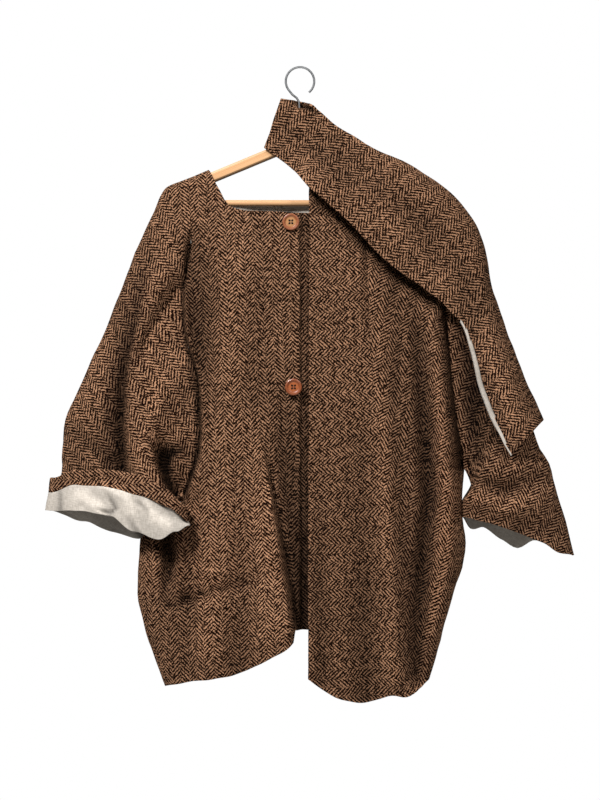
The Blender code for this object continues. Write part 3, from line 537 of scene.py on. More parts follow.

# %% [markdown]
# ## The folds
# The heavy cloth hangs from the shoulders in a few long soft folds. They are listed here: one
# down each armhole, a deep hollow above the turned-up cuff, a long billow beside the front
# opening, and broad waves in the skirt of the jacket. The back has folds of the same kind.
# Each row gives the points of a fold from its top down, its widths towards the viewer's right
# and left, and its depth at each point. A ridge has a depth below zero.

# %% Fold tables
# A fold's depth also sets the shade painted into the cloth along it, and a ridge gets a painted highlight.
# Some rows are there mostly for that painted shade.
RIGHT_FRONT_FOLDS = [
    ([(-166, -262), (-183, -337), (-181, -405), (-164, -470), (-156, -545), (-159, -600), (-178, -655)],
     5, 8, [2, 7, 10, 11, 11, 14, 14]),
    # a narrow crease on the armhole line, mostly for its thin dark line of painted shade
    ([(-166, -262), (-181, -337), (-179, -405), (-160, -470), (-154, -530), (-157, -590), (-181, -668)],
     3, 4, [8, 14, 15, 15, 15, 17, 15]),
    ([(-166, -262), (-170, -337), (-163, -405), (-152, -470), (-146, -540)], 20, 9, [5, 12, 14, 11, 4]),
    ([(-150, -280), (-138, -370), (-140, -450)], 16, 20, [4, 7, 3]),
    ([(-66, -560), (-50, -640), (-34, -758), (-16, -866)], 7, 46, [-2, -8, -13, -15]),
    ([(-24, -480), (-24, -590), (-12, -700), (0, -790), (8, -870)], 34, 15, [2, 11, 16, 19, 20]),
    ([(-203, -827), (-120, -799), (-83, -790), (-40, -775)], 3, 8, [13, 11, 9, 3]),
    # a thin fold whose painted shade sharpens the billow's edge
    ([(-52, -594), (-47, -620), (-21, -757), (-4, -862)], 6, 2.5, [4, 8, 12, 12]),
    # a fold below the cuff's tip; its painted shade also stands in for the cuff's shadow
    ([(-206, -716), (-204, -745), (-203, -787), (-212, -830)], 10, 9, [20, 26, 15, 4]),
    ([(-92, -300), (-104, -430), (-112, -560)], 30, 24, [-3, -5, -4]),
    ([(-112, -600), (-122, -740), (-140, -900)], 26, 24, [-3, -6, -9]),
    ([(-84, -620), (-84, -780), (-92, -930)], 18, 22, [2, 5, 8]),
    ([(-168, -700), (-172, -800), (-176, -930)], 15, 18, [5, 7, 6]),
    ([(-58, -240), (-58, -380), (-66, -520)], 22, 26, [2, 4, 4]),
]
LEFT_FRONT_FOLDS = [
    ([(176, -360), (183, -420), (192, -542), (199, -665), (190, -758), (184, -850), (180, -935)],
     13, 15, [6, 13, 19, 22, 21, 19, 15]),
    ([(212, -400), (222, -500), (233, -634), (231, -758), (215, -881)], 13, 15, [-3, -6, -9, -10, -8]),
    ([(222, -345), (228, -419), (236, -493), (245, -564), (252, -613)], 14, 15, [10, 14, 16, 18, 20]),
    ([(148, -440), (158, -560), (162, -700), (158, -900)], 16, 18, [2, 6, 9, 8]),
    ([(124, -400), (130, -560), (138, -700), (146, -800), (150, -940)], 13, 14, [-2, -4, -6, -8, -9]),
    ([(96, -540), (98, -700), (104, -970)], 20, 22, [2, 7, 11]),
    ([(60, -640), (56, -800), (60, -975)], 24, 20, [1, 2, 2]),
    ([(32, -600), (32, -780), (36, -950)], 14, 12, [2, 6, 9]),
    # pressed in under the scarf's lower edge; its painted shade stands in for the scarf's shadow
    ([(14, -184), (74, -239), (127, -295), (201, -350)], 9, 11, [14, 16, 18, 18]),
    # painted shade along the seam of the band
    ([(104, -240), (103, -330), (112, -456)], 3, 6, [6, 5, 2]),
    # a narrow crease on the armhole line, mostly for its thin dark line of painted shade
    ([(223, -357), (228, -419), (236, -493), (245, -564), (251, -613)], 3, 4, [9, 12, 14, 15, 16]),
    ([(150, -330), (156, -420), (150, -520)], 10, 16, [6, 7, 2]),
]
BACK_FOLDS = [
    ([(-182, -250), (-176, -400), (-165, -560)], 22, 20, [10, 14, 18]),
    ([(-110, -420), (-116, -640), (-128, -900)], 20, 26, [4, 9, 15]),
    ([(-70, -480), (-76, -680), (-80, -880)], 24, 18, [-3, -6, -8]),
    ([(-30, -520), (-38, -700), (-45, -860)], 18, 24, [3, 8, 13]),
    ([(15, -460), (12, -640), (10, -850)], 24, 20, [-2, -5, -7]),
    ([(55, -420), (60, -640), (62, -870)], 18, 26, [4, 9, 15]),
    ([(105, -500), (110, -700), (112, -900)], 26, 18, [-3, -6, -7]),
    ([(150, -380), (160, -640), (168, -900)], 16, 22, [6, 11, 16]),
    ([(214, -300), (228, -450), (244, -590)], 14, 16, [10, 12, 16]),
    ([(-100, -235), (0, -244), (100, -240)], 14, 26, [2, 3, 2]),
    # the roll of the neck; its painted shade stands in for the bar's shadow on the linen there
    ([(-118, -200), (-60, -205), (0, -205), (90, -204)], 4, 4, [9, 10, 10, 9]),
]
SLEEVE_FRONT_FOLDS = [
    ([(-242, -283), (-250, -350), (-258, -403), (-271, -460), (-277, -548), (-273, -622)],
     9, 24, [3, 8, 12, 15, 18, 20]),
    ([(-240, -283), (-248, -350), (-256, -403), (-269, -460), (-275, -548), (-271, -622)],
     2.6, 7, [2, 5, 8, 10, 12, 12]),
    ([(-212, -300), (-216, -400), (-224, -480), (-222, -555)], 22, 24, [-3, -7, -9, -10]),
    ([(-236, -566), (-206, -568), (-176, -560)], 10, 12, [-3, -8, -8]),
    # the hollow above the cuff: past DEEPEST it is not pressed further, and only its painted shade grows, to a
    # black blob
    ([(-166, -584), (-186, -588), (-209, -598), (-204, -632), (-190, -662)], 6, 7, [18, 32, 50, 36, 24]),
    ([(-208, -593), (-210, -610)], 7, 8, [60, 52]),
    ([(-166, -586), (-186, -589), (-200, -594)], 4, 3, [16, 22, 24]),
    ([(-362, -556), (-320, -580), (-292, -608)], 9, 14, [5, 8, 7]),
    ([(-300, -420), (-316, -500), (-330, -545)], 20, 16, [-3, -5, -2]),
    ([(-246, -600), (-236, -640)], 14, 14, [-7, -6]),
    ([(-348, -600), (-340, -640)], 12, 14, [4, 7]),
    ([(258, -420), (266, -500), (270, -560)], 16, 12, [6, 8, 6]),
    ([(284, -500), (300, -570)], 14, 18, [4, 6]),
    ([(258, -628), (316, -652), (372, -630)], 11, 9, [8, 12, 7]),
    ([(262, -664), (318, -680), (366, -668), (398, -640)], 11, 13, [-7, -9, -8, -3]),
    ([(330, -716), (392, -706)], 12, 13, [6, 6]),
    # along the scarf's lower edge; its painted shade stands in for the scarf's shadow
    ([(245, -391), (261, -431), (273, -480), (296, -544), (324, -602)], 6, 9, [8, 11, 12, 12, 9]),
    # painted shade on the sleeve where it lies in the scarf's shade
    ([(260, -430), (266, -520), (272, -600)], 18, 16, [10, 14, 15]),
]
SLEEVE_BACK_FOLDS = [
    ([(-250, -300), (-266, -450), (-285, -600)], 20, 15, [6, 9, 14]),
    ([(-215, -480), (-225, -560), (-235, -630)], 18, 13, [8, 10, 13]),
    ([(-320, -460), (-326, -540), (-330, -620)], 18, 14, [5, 7, 10]),
    ([(-226, -260), (-238, -340), (-246, -430)], 16, 20, [-4, -5, -5]),
    ([(270, -420), (296, -560), (320, -690)], 18, 22, [6, 9, 13]),
    ([(330, -540), (352, -620), (370, -700)], 16, 14, [5, 7, 10]),
    ([(262, -300), (282, -410), (300, -520)], 16, 20, [5, 7, 8]),
]
SCARF_FOLDS = [
    # a shallow fold near the hook, there mostly to paint that end darker
    ([(-40, -100), (20, -110), (60, -140)], 30, 30, [5, 6, 4]),
    # a ridge whose painted highlight lightens the scarf over the sleeve
    ([(300, -410), (318, -470), (346, -560)], 18, 22, [-4, -8, -7]),
    ([(-34, -92), (10, -118), (70, -170), (110, -196)], 14, 16, [2, 4, 5, 2]),
    ([(70, -130), (130, -180), (190, -240), (214, -300)], 18, 20, [2, 6, 8, 5]),
    ([(130, -236), (196, -300), (236, -352)], 12, 12, [-2, -4, -3]),
    ([(216, -236), (262, -330), (280, -420)], 14, 18, [3, 7, 5]),
    ([(282, -400), (300, -470), (334, -550)], 14, 12, [-2, -4, -3]),
    ([(270, -440), (286, -490), (312, -550)], 8, 10, [3, 5, 4]),
]
print("folds:", sum(map(len, (RIGHT_FRONT_FOLDS, LEFT_FRONT_FOLDS, BACK_FOLDS, SLEEVE_FRONT_FOLDS,
                              SLEEVE_BACK_FOLDS, SCARF_FOLDS))))

# %% [markdown]
# ## How far the cloth stands out
# The cloth bends over the hanger's arm, leans forward down the chest, and turns back at the
# side seams. The folds are taken away from that depth. The right front drops behind the band
# where the two overlap, with a clean edge that catches the light.

# %% Depth of the body
CHEST_DEPTH = 38.0
SHOULDER_ROUND = 14.0
SHOULDER_FALL = 190.0
SIDE_ROUND = 62.0
FULL_FOLDS = 26.0         # cloth nearer than this to the shoulder plane folds less
WAVER = 1.5               # mm by which no edge is quite straight
OVERLAP_EDGE = -1.5
OVERLAP_STEP = 3.5
OVERLAP_DROP = 6.5


def quarter(distance, radius):
    """The rise of a quarter circle, from 0 at its edge to 1 a radius in."""
    f = 1.0 - min(distance / radius, 1.0)
    return math.sqrt(max(1.0 - f * f, 0.0))


def depth(x, z, table):
    """How far the body's cloth stands from the shoulder plane."""
    shoulder = min(near(RIGHT_SHOULDER, x, z), near(LEFT_SHOULDER, x, z))
    over_arm = SHOULDER_ROUND * quarter(shoulder, SHOULDER_ROUND)
    fall = math.sin(0.5 * math.pi * min(shoulder / SHOULDER_FALL, 1.0))
    from_top = over_arm + (CHEST_DEPTH - SHOULDER_ROUND) * fall
    side = min(near(RIGHT_SIDE, x, z), near(LEFT_SIDE, x, z))
    plain = from_top * quarter(side, SIDE_ROUND)
    return max(plain - pressed(table, x, z) * min(plain / FULL_FOLDS, 1.0), 0.0)


def overlap(x):
    """How far the right front drops where it runs on under the band."""
    return OVERLAP_DROP * eased((x - OVERLAP_EDGE) / OVERLAP_STEP)


def true_place(x, y, z):
    """Moves a point from where it is seen to where it is, in metres, and wavers its edges."""
    scale = (EYE_DISTANCE + min(y, 0.0)) / EYE_DISTANCE
    x += WAVER * noise.noise(Vector((x / 26, 0.6, z / 26)))
    z += WAVER * noise.noise(Vector((x / 26, 7.1, z / 26)))
    return Vector((x * scale, y, EYE_HEIGHT + (z - EYE_HEIGHT) * scale)) * MM


print("depth at mid chest:", round(depth(-60, -400, RIGHT_FRONT_FOLDS), 1), "mm")

# %% [markdown]
# ## Laying a piece flat
# To draw the weave at its true size, each piece is laid flat as a cutter would see it. The
# flat copy starts as the view from in front, and its threads are then pulled a little at a
# time to the lengths they have on the draped piece. That also gives the size of the cut.

# %% Flattening
FLAT_ROUNDS = 240
BIAS_PULL = 0.15          # cloth gives on the bias, so the diagonals pull less


def thread_families():
    """Pairs of slices that join each point of a grid to a neighbour, by turns."""
    whole = slice(None)
    first = slice(None, -1)
    later = slice(1, None)
    out = []
    for turn in (0, 1):
        a = slice(turn, -1, 2)
        b = slice(turn + 1, None, 2)
        out.append(((a, whole), (b, whole), 0.5))
        out.append(((whole, a), (whole, b), 0.5))
        out.append(((a, first), (b, later), BIAS_PULL))
        out.append(((a, later), (b, first), BIAS_PULL))
    return out


def lay_flat(points, start):
    """The flat places, in metres, of a grid of points on draped cloth."""
    solid = np.array([[tuple(p) for p in row] for row in points])
    place = np.array(start, dtype=float) * MM
    families = []
    for a, b, pull in thread_families():
        count = min(solid[a].shape[0], solid[b].shape[0])
        goal = np.linalg.norm(solid[b][:count] - solid[a][:count], axis=2, keepdims=True)
        families.append((a, b, pull, count, goal))
    for _ in range(FLAT_ROUNDS):
        for a, b, pull, count, goal in families:
            step = place[b][:count] - place[a][:count]
            length = np.maximum(np.linalg.norm(step, axis=2, keepdims=True), 1e-6)
            shift = pull * (1 - goal / length) * step
            place[a][:count] += shift
            place[b][:count] -= shift
    return place


def to_grain(place, degrees):
    """Turns a flat piece so that the weave's columns run at an angle, 90 being upright."""
    way = math.radians(degrees)
    across = place[..., 0] * math.sin(way) - place[..., 1] * math.cos(way)
    down = place[..., 0] * math.cos(way) + place[..., 1] * math.sin(way)
    return np.stack((across, down), axis=-1)


print("threads pulled in", len(thread_families()), "sets")

# %% [markdown]
# ## A piece of cloth
# A piece is a grid of points on its outer face. Solidify gives it the thickness of tweed and
# linen together, with the linen on the inner face, and a small bevel rounds the turned edges.

# %% Cloth builder
WALL = 2.6
EDGE_ROUND = 0.9


def cloth(name, node, rows, painted_shades, flats, inside, grain, outer=None, inner=None, wall=WALL,
          closed=False, lined=None):
    """A piece of cloth through rows of points. flats holds one flat start for each half.

    lined tells where the inner cloth is rolled out and shows on the outer face.
    """
    outer = outer or tweed
    inner = inner or linen
    last = len(rows[0]) - 1
    half = last // len(flats)
    maps = []
    for i, start in enumerate(flats):
        part = [row[i * half:(i + 1) * half + 1] for row in rows]
        maps.append(lay_flat(part, start))
    turned = [to_grain(m, grain if i == 0 else 180 - grain) for i, m in enumerate(maps)]

    body = bmesh.new()
    layer = body.loops.layers.uv.new("cloth")
    # each point's painted shade, kept between a painted highlight of -0.4 and full painted shade at 1
    shade = body.verts.layers.float.new("painted_shade")
    columns = last if closed else last + 1
    grid = [[body.verts.new(p) for p in row[:columns]] for row in rows]
    for vertices, values in zip(grid, painted_shades):
        for vertex, value in zip(vertices, values):
            vertex[shade] = min(max(value, -0.4), 1.0)
    for r in range(len(rows) - 1):
        for c in range(last):
            corners = ((r, c), (r, c + 1), (r + 1, c + 1), (r + 1, c))
            face = body.faces.new([grid[i][j % columns] for i, j in corners])
            part = min(c // half, len(flats) - 1)
            for loop, (i, j) in zip(face.loops, corners):
                loop[layer].uv = turned[part][i, j - part * half]
            face.smooth = True
            face.material_index = 1 if lined and lined(r, c) else 0
    body.normal_update()
    out = sum(f.normal.dot(f.calc_center_median() - inside(f.calc_center_median()))
              for f in body.faces)
    if out < 0:
        bmesh.ops.reverse_faces(body, faces=body.faces)
    mesh = bpy.data.meshes.new(name)
    body.to_mesh(mesh)
    body.free()
    mesh.materials.append(outer)
    mesh.materials.append(inner)
    made = bpy.data.objects.new(name, mesh)
    scene.collection.objects.link(made)
    solid = made.modifiers.new("Wall", "SOLIDIFY")
    solid.thickness = wall * MM
    solid.offset = -1.0
    solid.material_offset = 1
    edge = made.modifiers.new("Turned edge", "BEVEL")
    edge.width = EDGE_ROUND * MM
    edge.segments = 2
    edge.angle_limit = math.radians(50)
    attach(made, "root")
    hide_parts(node)
    return made


# %% [markdown]
# ## Fronts and back
# Each body panel fills the four lines round it: its side, which is first the armhole and then
# the side seam, its top, its hem and its other edge. The points crowd together at the ends
# of the armhole, where the cloth turns fastest.

# %% Body panels
ARMHOLE_STEPS = 46
SIDE_STEPS = 26


def stations(count):
    """Shares from 0 to 1, closer together at both ends, as round a flattened ring."""
    return [0.5 - 0.5 * math.cos(math.pi * i / count) for i in range(count + 1)]


def side_edge(armhole, side):
    """Points down the armhole and then down the side seam."""
    rows = [along(armhole, s) for s in stations(ARMHOLE_STEPS)]
    return rows + [along(side, (i + 1) / SIDE_STEPS) for i in range(SIDE_STEPS)]


def length_shares(points):
    """Each point's share of the length of the line through them."""
    run = [0.0]
    for a, b in zip(points, points[1:]):
        run.append(run[-1] + math.dist(a, b))
    return [r / run[-1] for r in run]


def across_line(lines, columns):
    """Points evenly spaced in x along smooth lines that meet at sharp corners."""
    dense = [along(line, i / 40) for line in lines for i in range(41)]
    xs = [p[0] for p in dense]
    zs = [p[1] for p in dense]
    return [(x, float(np.interp(x, xs, zs))) for x in np.linspace(xs[0], xs[-1], columns + 1)]


def patch(left, right, top, hem, columns):
    """Rows of x, z that fill four edges. left is a list of points, top and hem lists of lines."""
    shares = length_shares(left)
    right_points = right if len(right) == len(left) else [along(right, v) for v in shares]
    corners = (left[0], right_points[0], left[-1], right_points[-1])
    tops = across_line(top, columns)
    hems = across_line(hem, columns)
    rows = []
    for v, l, r in zip(shares, left, right_points):
        row = []
        for c in range(columns + 1):
            u = c / columns
            point = []
            for k in range(2):
                flat = ((1 - u) * (1 - v) * corners[0][k] + u * (1 - v) * corners[1][k]
                        + (1 - u) * v * corners[2][k] + u * v * corners[3][k])
                point.append((1 - v) * tops[c][k] + v * hems[c][k] + (1 - u) * l[k] + u * r[k] - flat)
            row.append(point)
        rows.append(row)
    return rows


# painted shade: FOLD_SHADE is the fold depth at which it is nearly full, OVERLAP_SHADE the drop of the right
# front under the band that does the same
FOLD_SHADE = 21.0         # mm of depth at which a fold is mostly in shade
OVERLAP_SHADE = 15.0


def in_shade(amount):
    """A painted shade that levels off softly below 1, so that deep folds keep some weave; below zero it is a
    painted highlight, passed on unchanged.
    """
    full = max(amount, 0.0)
    return amount if amount < 0 else full / (1 + full ** 3) ** (1 / 3)


def body_rows(flat, table, sign, drop=None):
    """The points of a body panel, in front for a sign of -1 and behind for 1, and their painted shade."""
    rows = []
    shades = []
    for row in flat:
        down = [drop(x) if drop else 0.0 for x, z in row]
        rows.append([true_place(x, sign * (depth(x, z, table) - d), z) for (x, z), d in zip(row, down)])
        # painted shade from the folds, and darker where the right front runs under the band
        shades.append([in_shade(pressed(table, x, z) / FOLD_SHADE + d / OVERLAP_SHADE)
                       for (x, z), d in zip(row, down)])
    return rows, shades


def body_axis(point):
    """The middle of the body at a point's place."""
    return Vector((point.x, 0.0, point.z))


right_line = side_edge(RIGHT_ARMHOLE, RIGHT_SIDE)
left_line = side_edge(LEFT_ARMHOLE, LEFT_SIDE)
flat = patch(right_line, RIGHT_FRONT_EDGE, [RIGHT_SHOULDER, RIGHT_NECK], [RIGHT_HEM], 84)
right_front = cloth("right_front_cloth", "right_front",
                    *body_rows(flat, RIGHT_FRONT_FOLDS, -1, overlap), [flat], body_axis, 92)

seam = [along(BAND_SEAM, v) for v in length_shares(left_line)]
flat = patch(seam, left_line, [LEFT_TOP[:2], LEFT_TOP[1:]], [LEFT_HEM], 34)
left_front = cloth("left_front_cloth", "left_front", *body_rows(flat, LEFT_FRONT_FOLDS, -1), [flat],
                   body_axis, 74)

edge = [along(BAND_EDGE, v) for v in length_shares(seam)]
flat = patch(edge, seam, [BAND_TOP], [BAND_HEM], 30)
band = cloth("left_front_band_cloth", "left_front_band", *body_rows(flat, LEFT_FRONT_FOLDS, -1),
             [flat], body_axis, 2)

flat = patch(right_line, left_line, [RIGHT_SHOULDER, BACK_NECK, LEFT_SHOULDER[::-1]], [BACK_HEM], 96)
mirrored = [[(-x, z) for x, z in row] for row in flat]
back = cloth("back_cloth", "back", *body_rows(flat, BACK_FOLDS, 1), [mirrored], body_axis, 90)

# %% [markdown]
# ## Sleeves
# A dropped sleeve is a wide tube. Its first ring is the armhole itself, so that cloth runs on
# from the body without a gap, and its last ring has a rim that sags unevenly. Each half is
# laid flat by itself, as if cut along the top and the underarm.

# %% Sleeves
SLEEVE_STEPS = 52
RIGHT_SLEEVE_RINGS = [(0.0, 30, 0), (0.25, 42, 14), (0.55, 38, 40), (0.8, 31, 48), (1.0, 29, 53)]
LEFT_SLEEVE_RINGS = [(0.0, 30, 0), (0.3, 40, 0), (0.7, 42, 0), (1.0, 33, 0)]
RIGHT_SLEEVE_RIM = [(0, 0, 0), (0.25, 5, -14), (0.45, 2, -26), (0.6, -18, -30), (0.78, -27, -26),
                    (0.9, -12, -12), (1, 0, 0)]
LEFT_SLEEVE_RIM = [(0, 0, 0), (0.14, -3, 0), (0.3, 4, 2), (0.48, 5, -20), (0.62, 6, -15),
                   (0.79, 5, -5), (0.9, 3, -13), (1, 0, 0)]
# painted shade: INNER_SHADE darkens the far side of an open end, seen from inside; ARMHOLE_SHADE is the share
# over which the armhole's painted shade fades into the sleeve's
INNER_SHADE = 0.3         # the far side of an open end is seen from inside, in shade
RIM_FROM = 0.7            # share of the sleeve's length where the rim's sag begins
HOLD_PLACE = 0.34         # shares where the sleeve has left the armhole's own curve
HOLD_DEPTH = 0.5
SEAM_IN = 5.0
SEAM_DEEP = 3.2           # mm, a little more than the thickness of the cloth
DEEPEST = 26.0            # mm, so that a hollow never meets the other side of the sleeve
ARMHOLE_SHADE = 0.035      # share of the length over which the armhole's shade fades


def sleeve_point(side, share, around, sign):
    """A place on a sleeve and its painted shade: share down it, around from its top (0) to its underarm (1).
    """
    armhole, top, under, rings, rim, front_folds = side
    ox, oz = along(top, share)
    ix, iz = along(under, share)
    half, shift = by_share(rings, share)
    front, behind = by_share(rim, around)
    lift = (front if sign < 0 else behind) * max(share - RIM_FROM, 0.0) / (1 - RIM_FROM)
    x = ox + (ix - ox) * around
    z = oz + (iz - oz) * around + lift
    swell = math.sqrt(max(4 * around * (1 - around), 0.0))
    y = sign * half * swell - shift * around * around
    table = SLEEVE_FRONT_FOLDS if sign < 0 else SLEEVE_BACK_FOLDS
    fold = pressed(table, x, z) * min(share / 0.25, 1.0)
    y -= sign * min(fold, DEEPEST) * swell
    body_folds = front_folds if sign < 0 else BACK_FOLDS
    ax, az = along(armhole, around)
    ay = sign * depth(ax, az, body_folds)
    hold = max(1 - share / HOLD_PLACE, 0.0) ** 2
    hold_depth = max(1 - (share / HOLD_DEPTH) ** 2, 0.0)
    # painted shade: from the sleeve's folds, also where they go deeper than DEEPEST, blended into the body's
    # at the armhole, and darker on the far inner side of the open end
    shade = fold + (pressed(body_folds, ax, az) - fold) * max(1 - share / ARMHOLE_SHADE, 0.0)
    if sign > 0:
        shade += FOLD_SHADE * INNER_SHADE * max(share - RIM_FROM, 0.0) / (1 - RIM_FROM)
    place = true_place(x + (ax - x) * hold, y + (ay - y) * hold_depth, z + (az - z) * hold)
    return place, in_shade(shade / FOLD_SHADE)


def halves(rows, count):
    """The flat starts of a tube's front and back half, the back one as seen from behind."""
    front = [[(p.x / MM, p.z / MM) for p in row[:count + 1]] for row in rows]
    behind = [[(-p.x / MM, p.z / MM) for p in row[count:]] for row in rows]
    return [front, behind]


def nearest(middles):
    """A function that gives the nearest of some middle points."""
    return lambda point: min(middles, key=lambda m: (m - point).length_squared)


def tucked(place):
    """A point of the seam allowance, which runs on from the armhole behind the body's cloth."""
    inward = -SEAM_IN if place.x > 0 else SEAM_IN
    deeper = SEAM_DEEP if place.y < 0 else -SEAM_DEEP
    return place + Vector((inward, min(max(deeper, -abs(place.y) / MM), abs(place.y) / MM), 0.0)) * MM


def make_sleeve(name, node, side, grain):
    """One sleeve, from the armhole to its end."""
    steps = stations(ARMHOLE_STEPS)
    rows = []
    shades = []
    for i in range(SLEEVE_STEPS + 1):
        share = (i / SLEEVE_STEPS) ** 1.15
        ring = [sleeve_point(side, share, a, -1) for a in steps[:-1]]
        ring += [sleeve_point(side, share, a, 1) for a in steps[::-1]]
        rows.append([place for place, shade in ring])
        shades.append([shade for place, shade in ring])
    rows.insert(0, [tucked(place) for place in rows[0]])
    shades.insert(0, shades[0])
    middles = [sum(row, Vector()) / len(row) for row in rows]
    return cloth(name, node, rows, shades, halves(rows, ARMHOLE_STEPS), nearest(middles), grain,
                 closed=True)


RIGHT_SLEEVE = (RIGHT_ARMHOLE, RIGHT_SLEEVE_TOP, RIGHT_SLEEVE_UNDER, RIGHT_SLEEVE_RINGS,
                RIGHT_SLEEVE_RIM, RIGHT_FRONT_FOLDS)
LEFT_SLEEVE = (LEFT_ARMHOLE, LEFT_SLEEVE_TOP, LEFT_SLEEVE_UNDER, LEFT_SLEEVE_RINGS,
               LEFT_SLEEVE_RIM, LEFT_FRONT_FOLDS)
right_sleeve = make_sleeve("right_sleeve_cloth", "right_sleeve", RIGHT_SLEEVE, 128)
left_sleeve = make_sleeve("left_sleeve_cloth", "left_sleeve", LEFT_SLEEVE, 62)

# %% [markdown]
# ## The turned-up cuff
# The end of the right sleeve is folded up once, so its linen shows outside as a broad band.
# Above it the tweed of the hem's own turning shows as a narrow strip. Both are short tubes
# round the sleeve, creased where the heavy cloth was pushed up by hand.

# %% Cuff
CUFF_TOP = [(-385, -631), (-174, -675)]
CUFF_JOIN = [(-388, -653), (-171, -698)]
CUFF_FOLD = [(-393, -681), (-168, -704)]
CUFF_TOP_RIM = [(0, 0, 0), (0.2, 22, 6), (0.45, 32, 8), (0.65, 33, 10), (0.85, 20, 8), (1, 0, 0)]
CUFF_JOIN_RIM = [(0, 0, 0), (0.2, 20, 0), (0.45, 27, -6), (0.65, 24, -8), (0.85, 15, -4), (1, 0, 0)]
CUFF_RINGS = [(0.0, 39.9, 46), (1.0, 35.8, 57.4)]
CUFF_STEPS = 96
# painted shade: CUFF_INNER_SHADE darkens the cuff's far inner side, and CUFF_SHADE is the crease depth in mm
# at which a crease's painted shade is nearly full, so the shallow creases show as painted dark lines
CUFF_INNER_SHADE = 0.12
CUFF_SHADE = 5.0          # the cuff is small, so its shallow creases already shade
CUFF_FOLDS = [
    ([(-298, -654), (-290, -666), (-284, -678), (-291, -687), (-311, -680)], 2.4, 3.5, [1, 3, 4, 4, 3]),
    ([(-370, -652), (-368, -680)], 3, 5, [2, 3]),
    ([(-249, -669), (-236, -680), (-232, -694)], 2.5, 4, [2, 3, 1]),
    ([(-264, -694), (-256, -708), (-243, -725)], 4, 7, [1, 3, 4]),
    ([(-212, -672), (-196, -690)], 3, 4, [2, 2]),
    ([(-300, -646), (-272, -662), (-262, -684)], 9, 8, [-4, -6, -3]),
    ([(-338, -664), (-312, -680)], 10, 8, [-4, -6]),
    ([(-236, -676), (-222, -694), (-206, -704)], 8, 9, [-2, -4, -3]),
]


def between(line, share):
    """A point of a straight line."""
    return [p + (q - p) * share for p, q in zip(line[0], line[1])]


def cuff_rows(upper, lower, upper_rim, lower_rim, steps):
    """Rings of the cuff, from its upper to its lower line, and their painted shade."""
    rows = []
    shades = []
    ring = stations(CUFF_STEPS)
    for i in range(steps + 1):
        f = i / steps
        half, shift = by_share(CUFF_RINGS, f)
        row = []
        shade = []
        for sign, way in ((-1, ring[:-1]), (1, ring[::-1])):
            for around in way:
                pick = 0 if sign < 0 else 1
                ax, az = between(upper, around)
                bx, bz = between(lower, around)
                az += by_share(upper_rim, around)[pick]
                bz += by_share(lower_rim, around)[pick]
                x = ax + (bx - ax) * f
                z = az + (bz - az) * f
                swell = math.sqrt(max(4 * around * (1 - around), 0.0))
                fold = pressed(CUFF_FOLDS, x, z)
                y = sign * (half - fold) * swell - shift * around * around
                row.append(true_place(x, y, z))
                # painted shade of the creases and of the far inner side
                shade.append(in_shade(fold / CUFF_SHADE + (CUFF_INNER_SHADE if sign > 0 else 0.0)))
        rows.append(row)
        shades.append(shade)
    return rows, shades


def make_cuff(name, node, upper, lower, rims, steps, outer, inner, grain):
    """One ring of the cuff."""
    rows, shades = cuff_rows(upper, lower, rims[0], rims[1], steps)
    middle = sum((sum(row, Vector()) for row in rows), Vector()) / sum(len(r) for r in rows)
    return cloth(name, node, rows, shades, halves(rows, CUFF_STEPS), nearest([middle]), grain, outer,
                 inner, closed=True)


strip = make_cuff("right_cuff_strip_cloth", "right_cuff_strip", CUFF_TOP, CUFF_JOIN,
                  (CUFF_TOP_RIM, CUFF_JOIN_RIM), 6, tweed, tweed, 5)
turnup = make_cuff("right_cuff_turnup_cloth", "right_cuff_turnup", CUFF_JOIN, CUFF_FOLD,
                   (CUFF_JOIN_RIM, RIGHT_SLEEVE_RIM), 24, linen, linen, 84)

# %% [markdown]
# ## The scarf collar
# A long strip of the same cloth buttons on at the neck. Here it hangs by one buttonhole on
# the hook, crosses the chest and lies over the left shoulder and sleeve. Its rows run from
# the hook end down: lower edge, outer edge, how far each stands forward, and how much of it
# turns over behind.

# %% Scarf
SCARF = [
    (-55, -122, -30, -46, -12, -10, 0.0, 0),
    (-32, -139, -2, -51, -14, -10, 0.0, 0),
    (-9, -157, 28, -64, -20, -11, 0.0, 0),
    (17, -186, 56, -88, -46, -13, 0.1, 0),
    (76, -237, 114, -123, -48, -12, 0.5, 0),
    (129, -293, 179, -154, -52, -1, 1.0, 8),
    (203, -348, 243, -203, -50, 3, 1.0, 20),
    (246, -391, 281, -264, -53, 4, 1.0, 26),
    (262, -431, 296, -338, -55, 4, 1.0, 28),
    (274, -480, 318, -403, -55, 4, 1.0, 28),
    (297, -544, 342, -465, -54, 4, 1.0, 28),
    (325, -598, 375, -542, -52, 4, 1.0, 24),
]
SCARF_WALL = 3.6
SCARF_TAIL_SHARE = 0.2
# the buttonhole: a narrow trough, painted dark inside by SLIT_SHADE
SLIT = [([(0, -57), (9, -59), (17, -63), (27, -73)], 3.0, 3.0, [8, 11, 8, 2])]
SLIT_SHADE = 8.0
ROLLED = 0.022            # share of the width over which the lining is rolled out
ROLLED_FROM = 0.63
ROLLED_COLUMNS = [(0.63, 1), (0.67, 2), (0.71, 3), (0.9, 2), (0.96, 1)]
ROLLED_SINK = 2.4
EDGE_COLUMNS = [0.0, 0.005, 0.012, ROLLED, 0.033]
LIP_LIFT = 14.0
LIP_REACH = 13.0


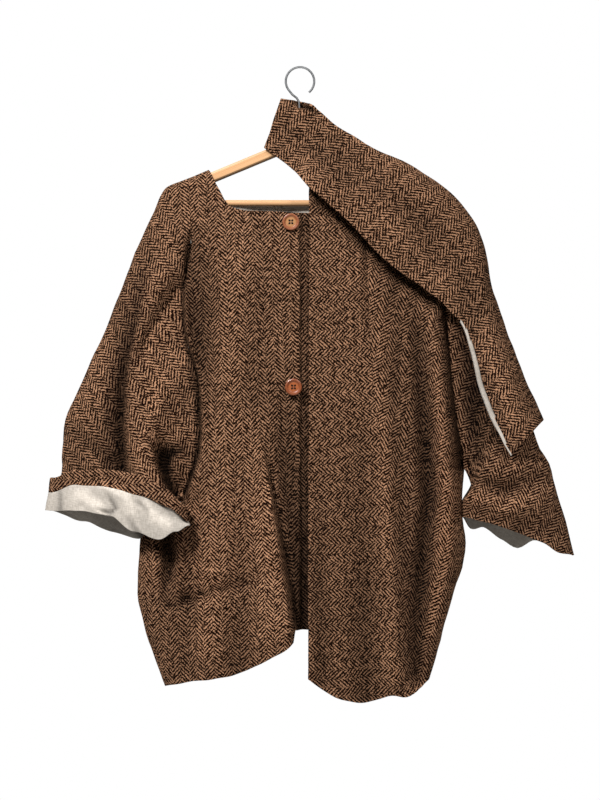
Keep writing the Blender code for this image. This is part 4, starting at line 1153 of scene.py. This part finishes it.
def scarf_point(share, across):
    """A point of the scarf and its painted shade: share from its hook end, across from its lower to its outer
    edge.
    """
    lx, lz, ox, oz, ly, oy, bend, tail = row_at(SCARF, share)
    turned = SCARF_TAIL_SHARE * min(max(tail, 0.0) / 20, 1.0)
    main = min(across / (1 - turned), 1.0)
    rest = (across - (1 - turned)) / turned if across > 1 - turned else 0.0
    turn = 0.5 * math.pi * main
    reach = main + (math.sin(turn) ** 0.75 - main) * bend
    sink = main + ((1 - math.cos(turn)) ** 1.3 - main) * bend
    x = lx + (ox - lx) * reach - 0.3 * tail * rest * rest
    y = ly + (oy - ly) * sink + tail * rest
    z = lz + (oz - lz) * reach
    lip = max(1 - math.hypot(x - 1, z + 52) / LIP_REACH, 0.0)
    y += LIP_LIFT * min(1.6 * lip, 1.0)
    fold = pressed(SCARF_FOLDS, x, z) * min(max((-4.0 - y) / 16.0, 0.0), 1.0)
    slit = pressed(SLIT, x, z) - uneven(x, z)
    rolled = share > ROLLED_FROM and across <= ROLLED
    sink = ROLLED_SINK if rolled else 0.0
    # painted shade: from the folds, the slit painted dark, and a dark line where the rolled-out lining meets
    # the tweed; a ridge gets a painted highlight
    shade = in_shade(fold / FOLD_SHADE + slit / SLIT_SHADE + (0.5 if rolled and across == ROLLED else 0.0))
    return true_place(x, y + fold + slit + sink, z), shade


def scarf_inside(point):
    """A place behind the scarf, towards the neck."""
    return Vector((0.9 * point.x, 0.05, point.z - 0.02))


scarf_steps = [i / 110 for i in range(111)]
scarf_across = EDGE_COLUMNS + [i / 44 for i in range(2, 45)]
scarf_points = [[scarf_point(s, c) for c in scarf_across] for s in scarf_steps]
scarf_rows = [[place for place, shade in row] for row in scarf_points]
scarf_shades = [[shade for place, shade in row] for row in scarf_points]


def rolled_out(row, column):
    """Whether the lining shows in a cell along the scarf's lower edge."""
    wide = [count for share, count in ROLLED_COLUMNS if scarf_steps[row] > share]
    return column < (wide[-1] if wide else 0)


scarf_way = Vector((0.628, -0.778))
scarf_start = [[(-(p.x * scarf_way.y + -p.z * scarf_way.x) / MM, -(p.x * scarf_way.x + p.z * scarf_way.y) / MM)
                for p in row] for row in scarf_rows]
scarf = cloth("scarf_collar_cloth", "scarf_collar", scarf_rows, scarf_shades, [scarf_start],
              scarf_inside, 0, wall=SCARF_WALL,
              lined=rolled_out)
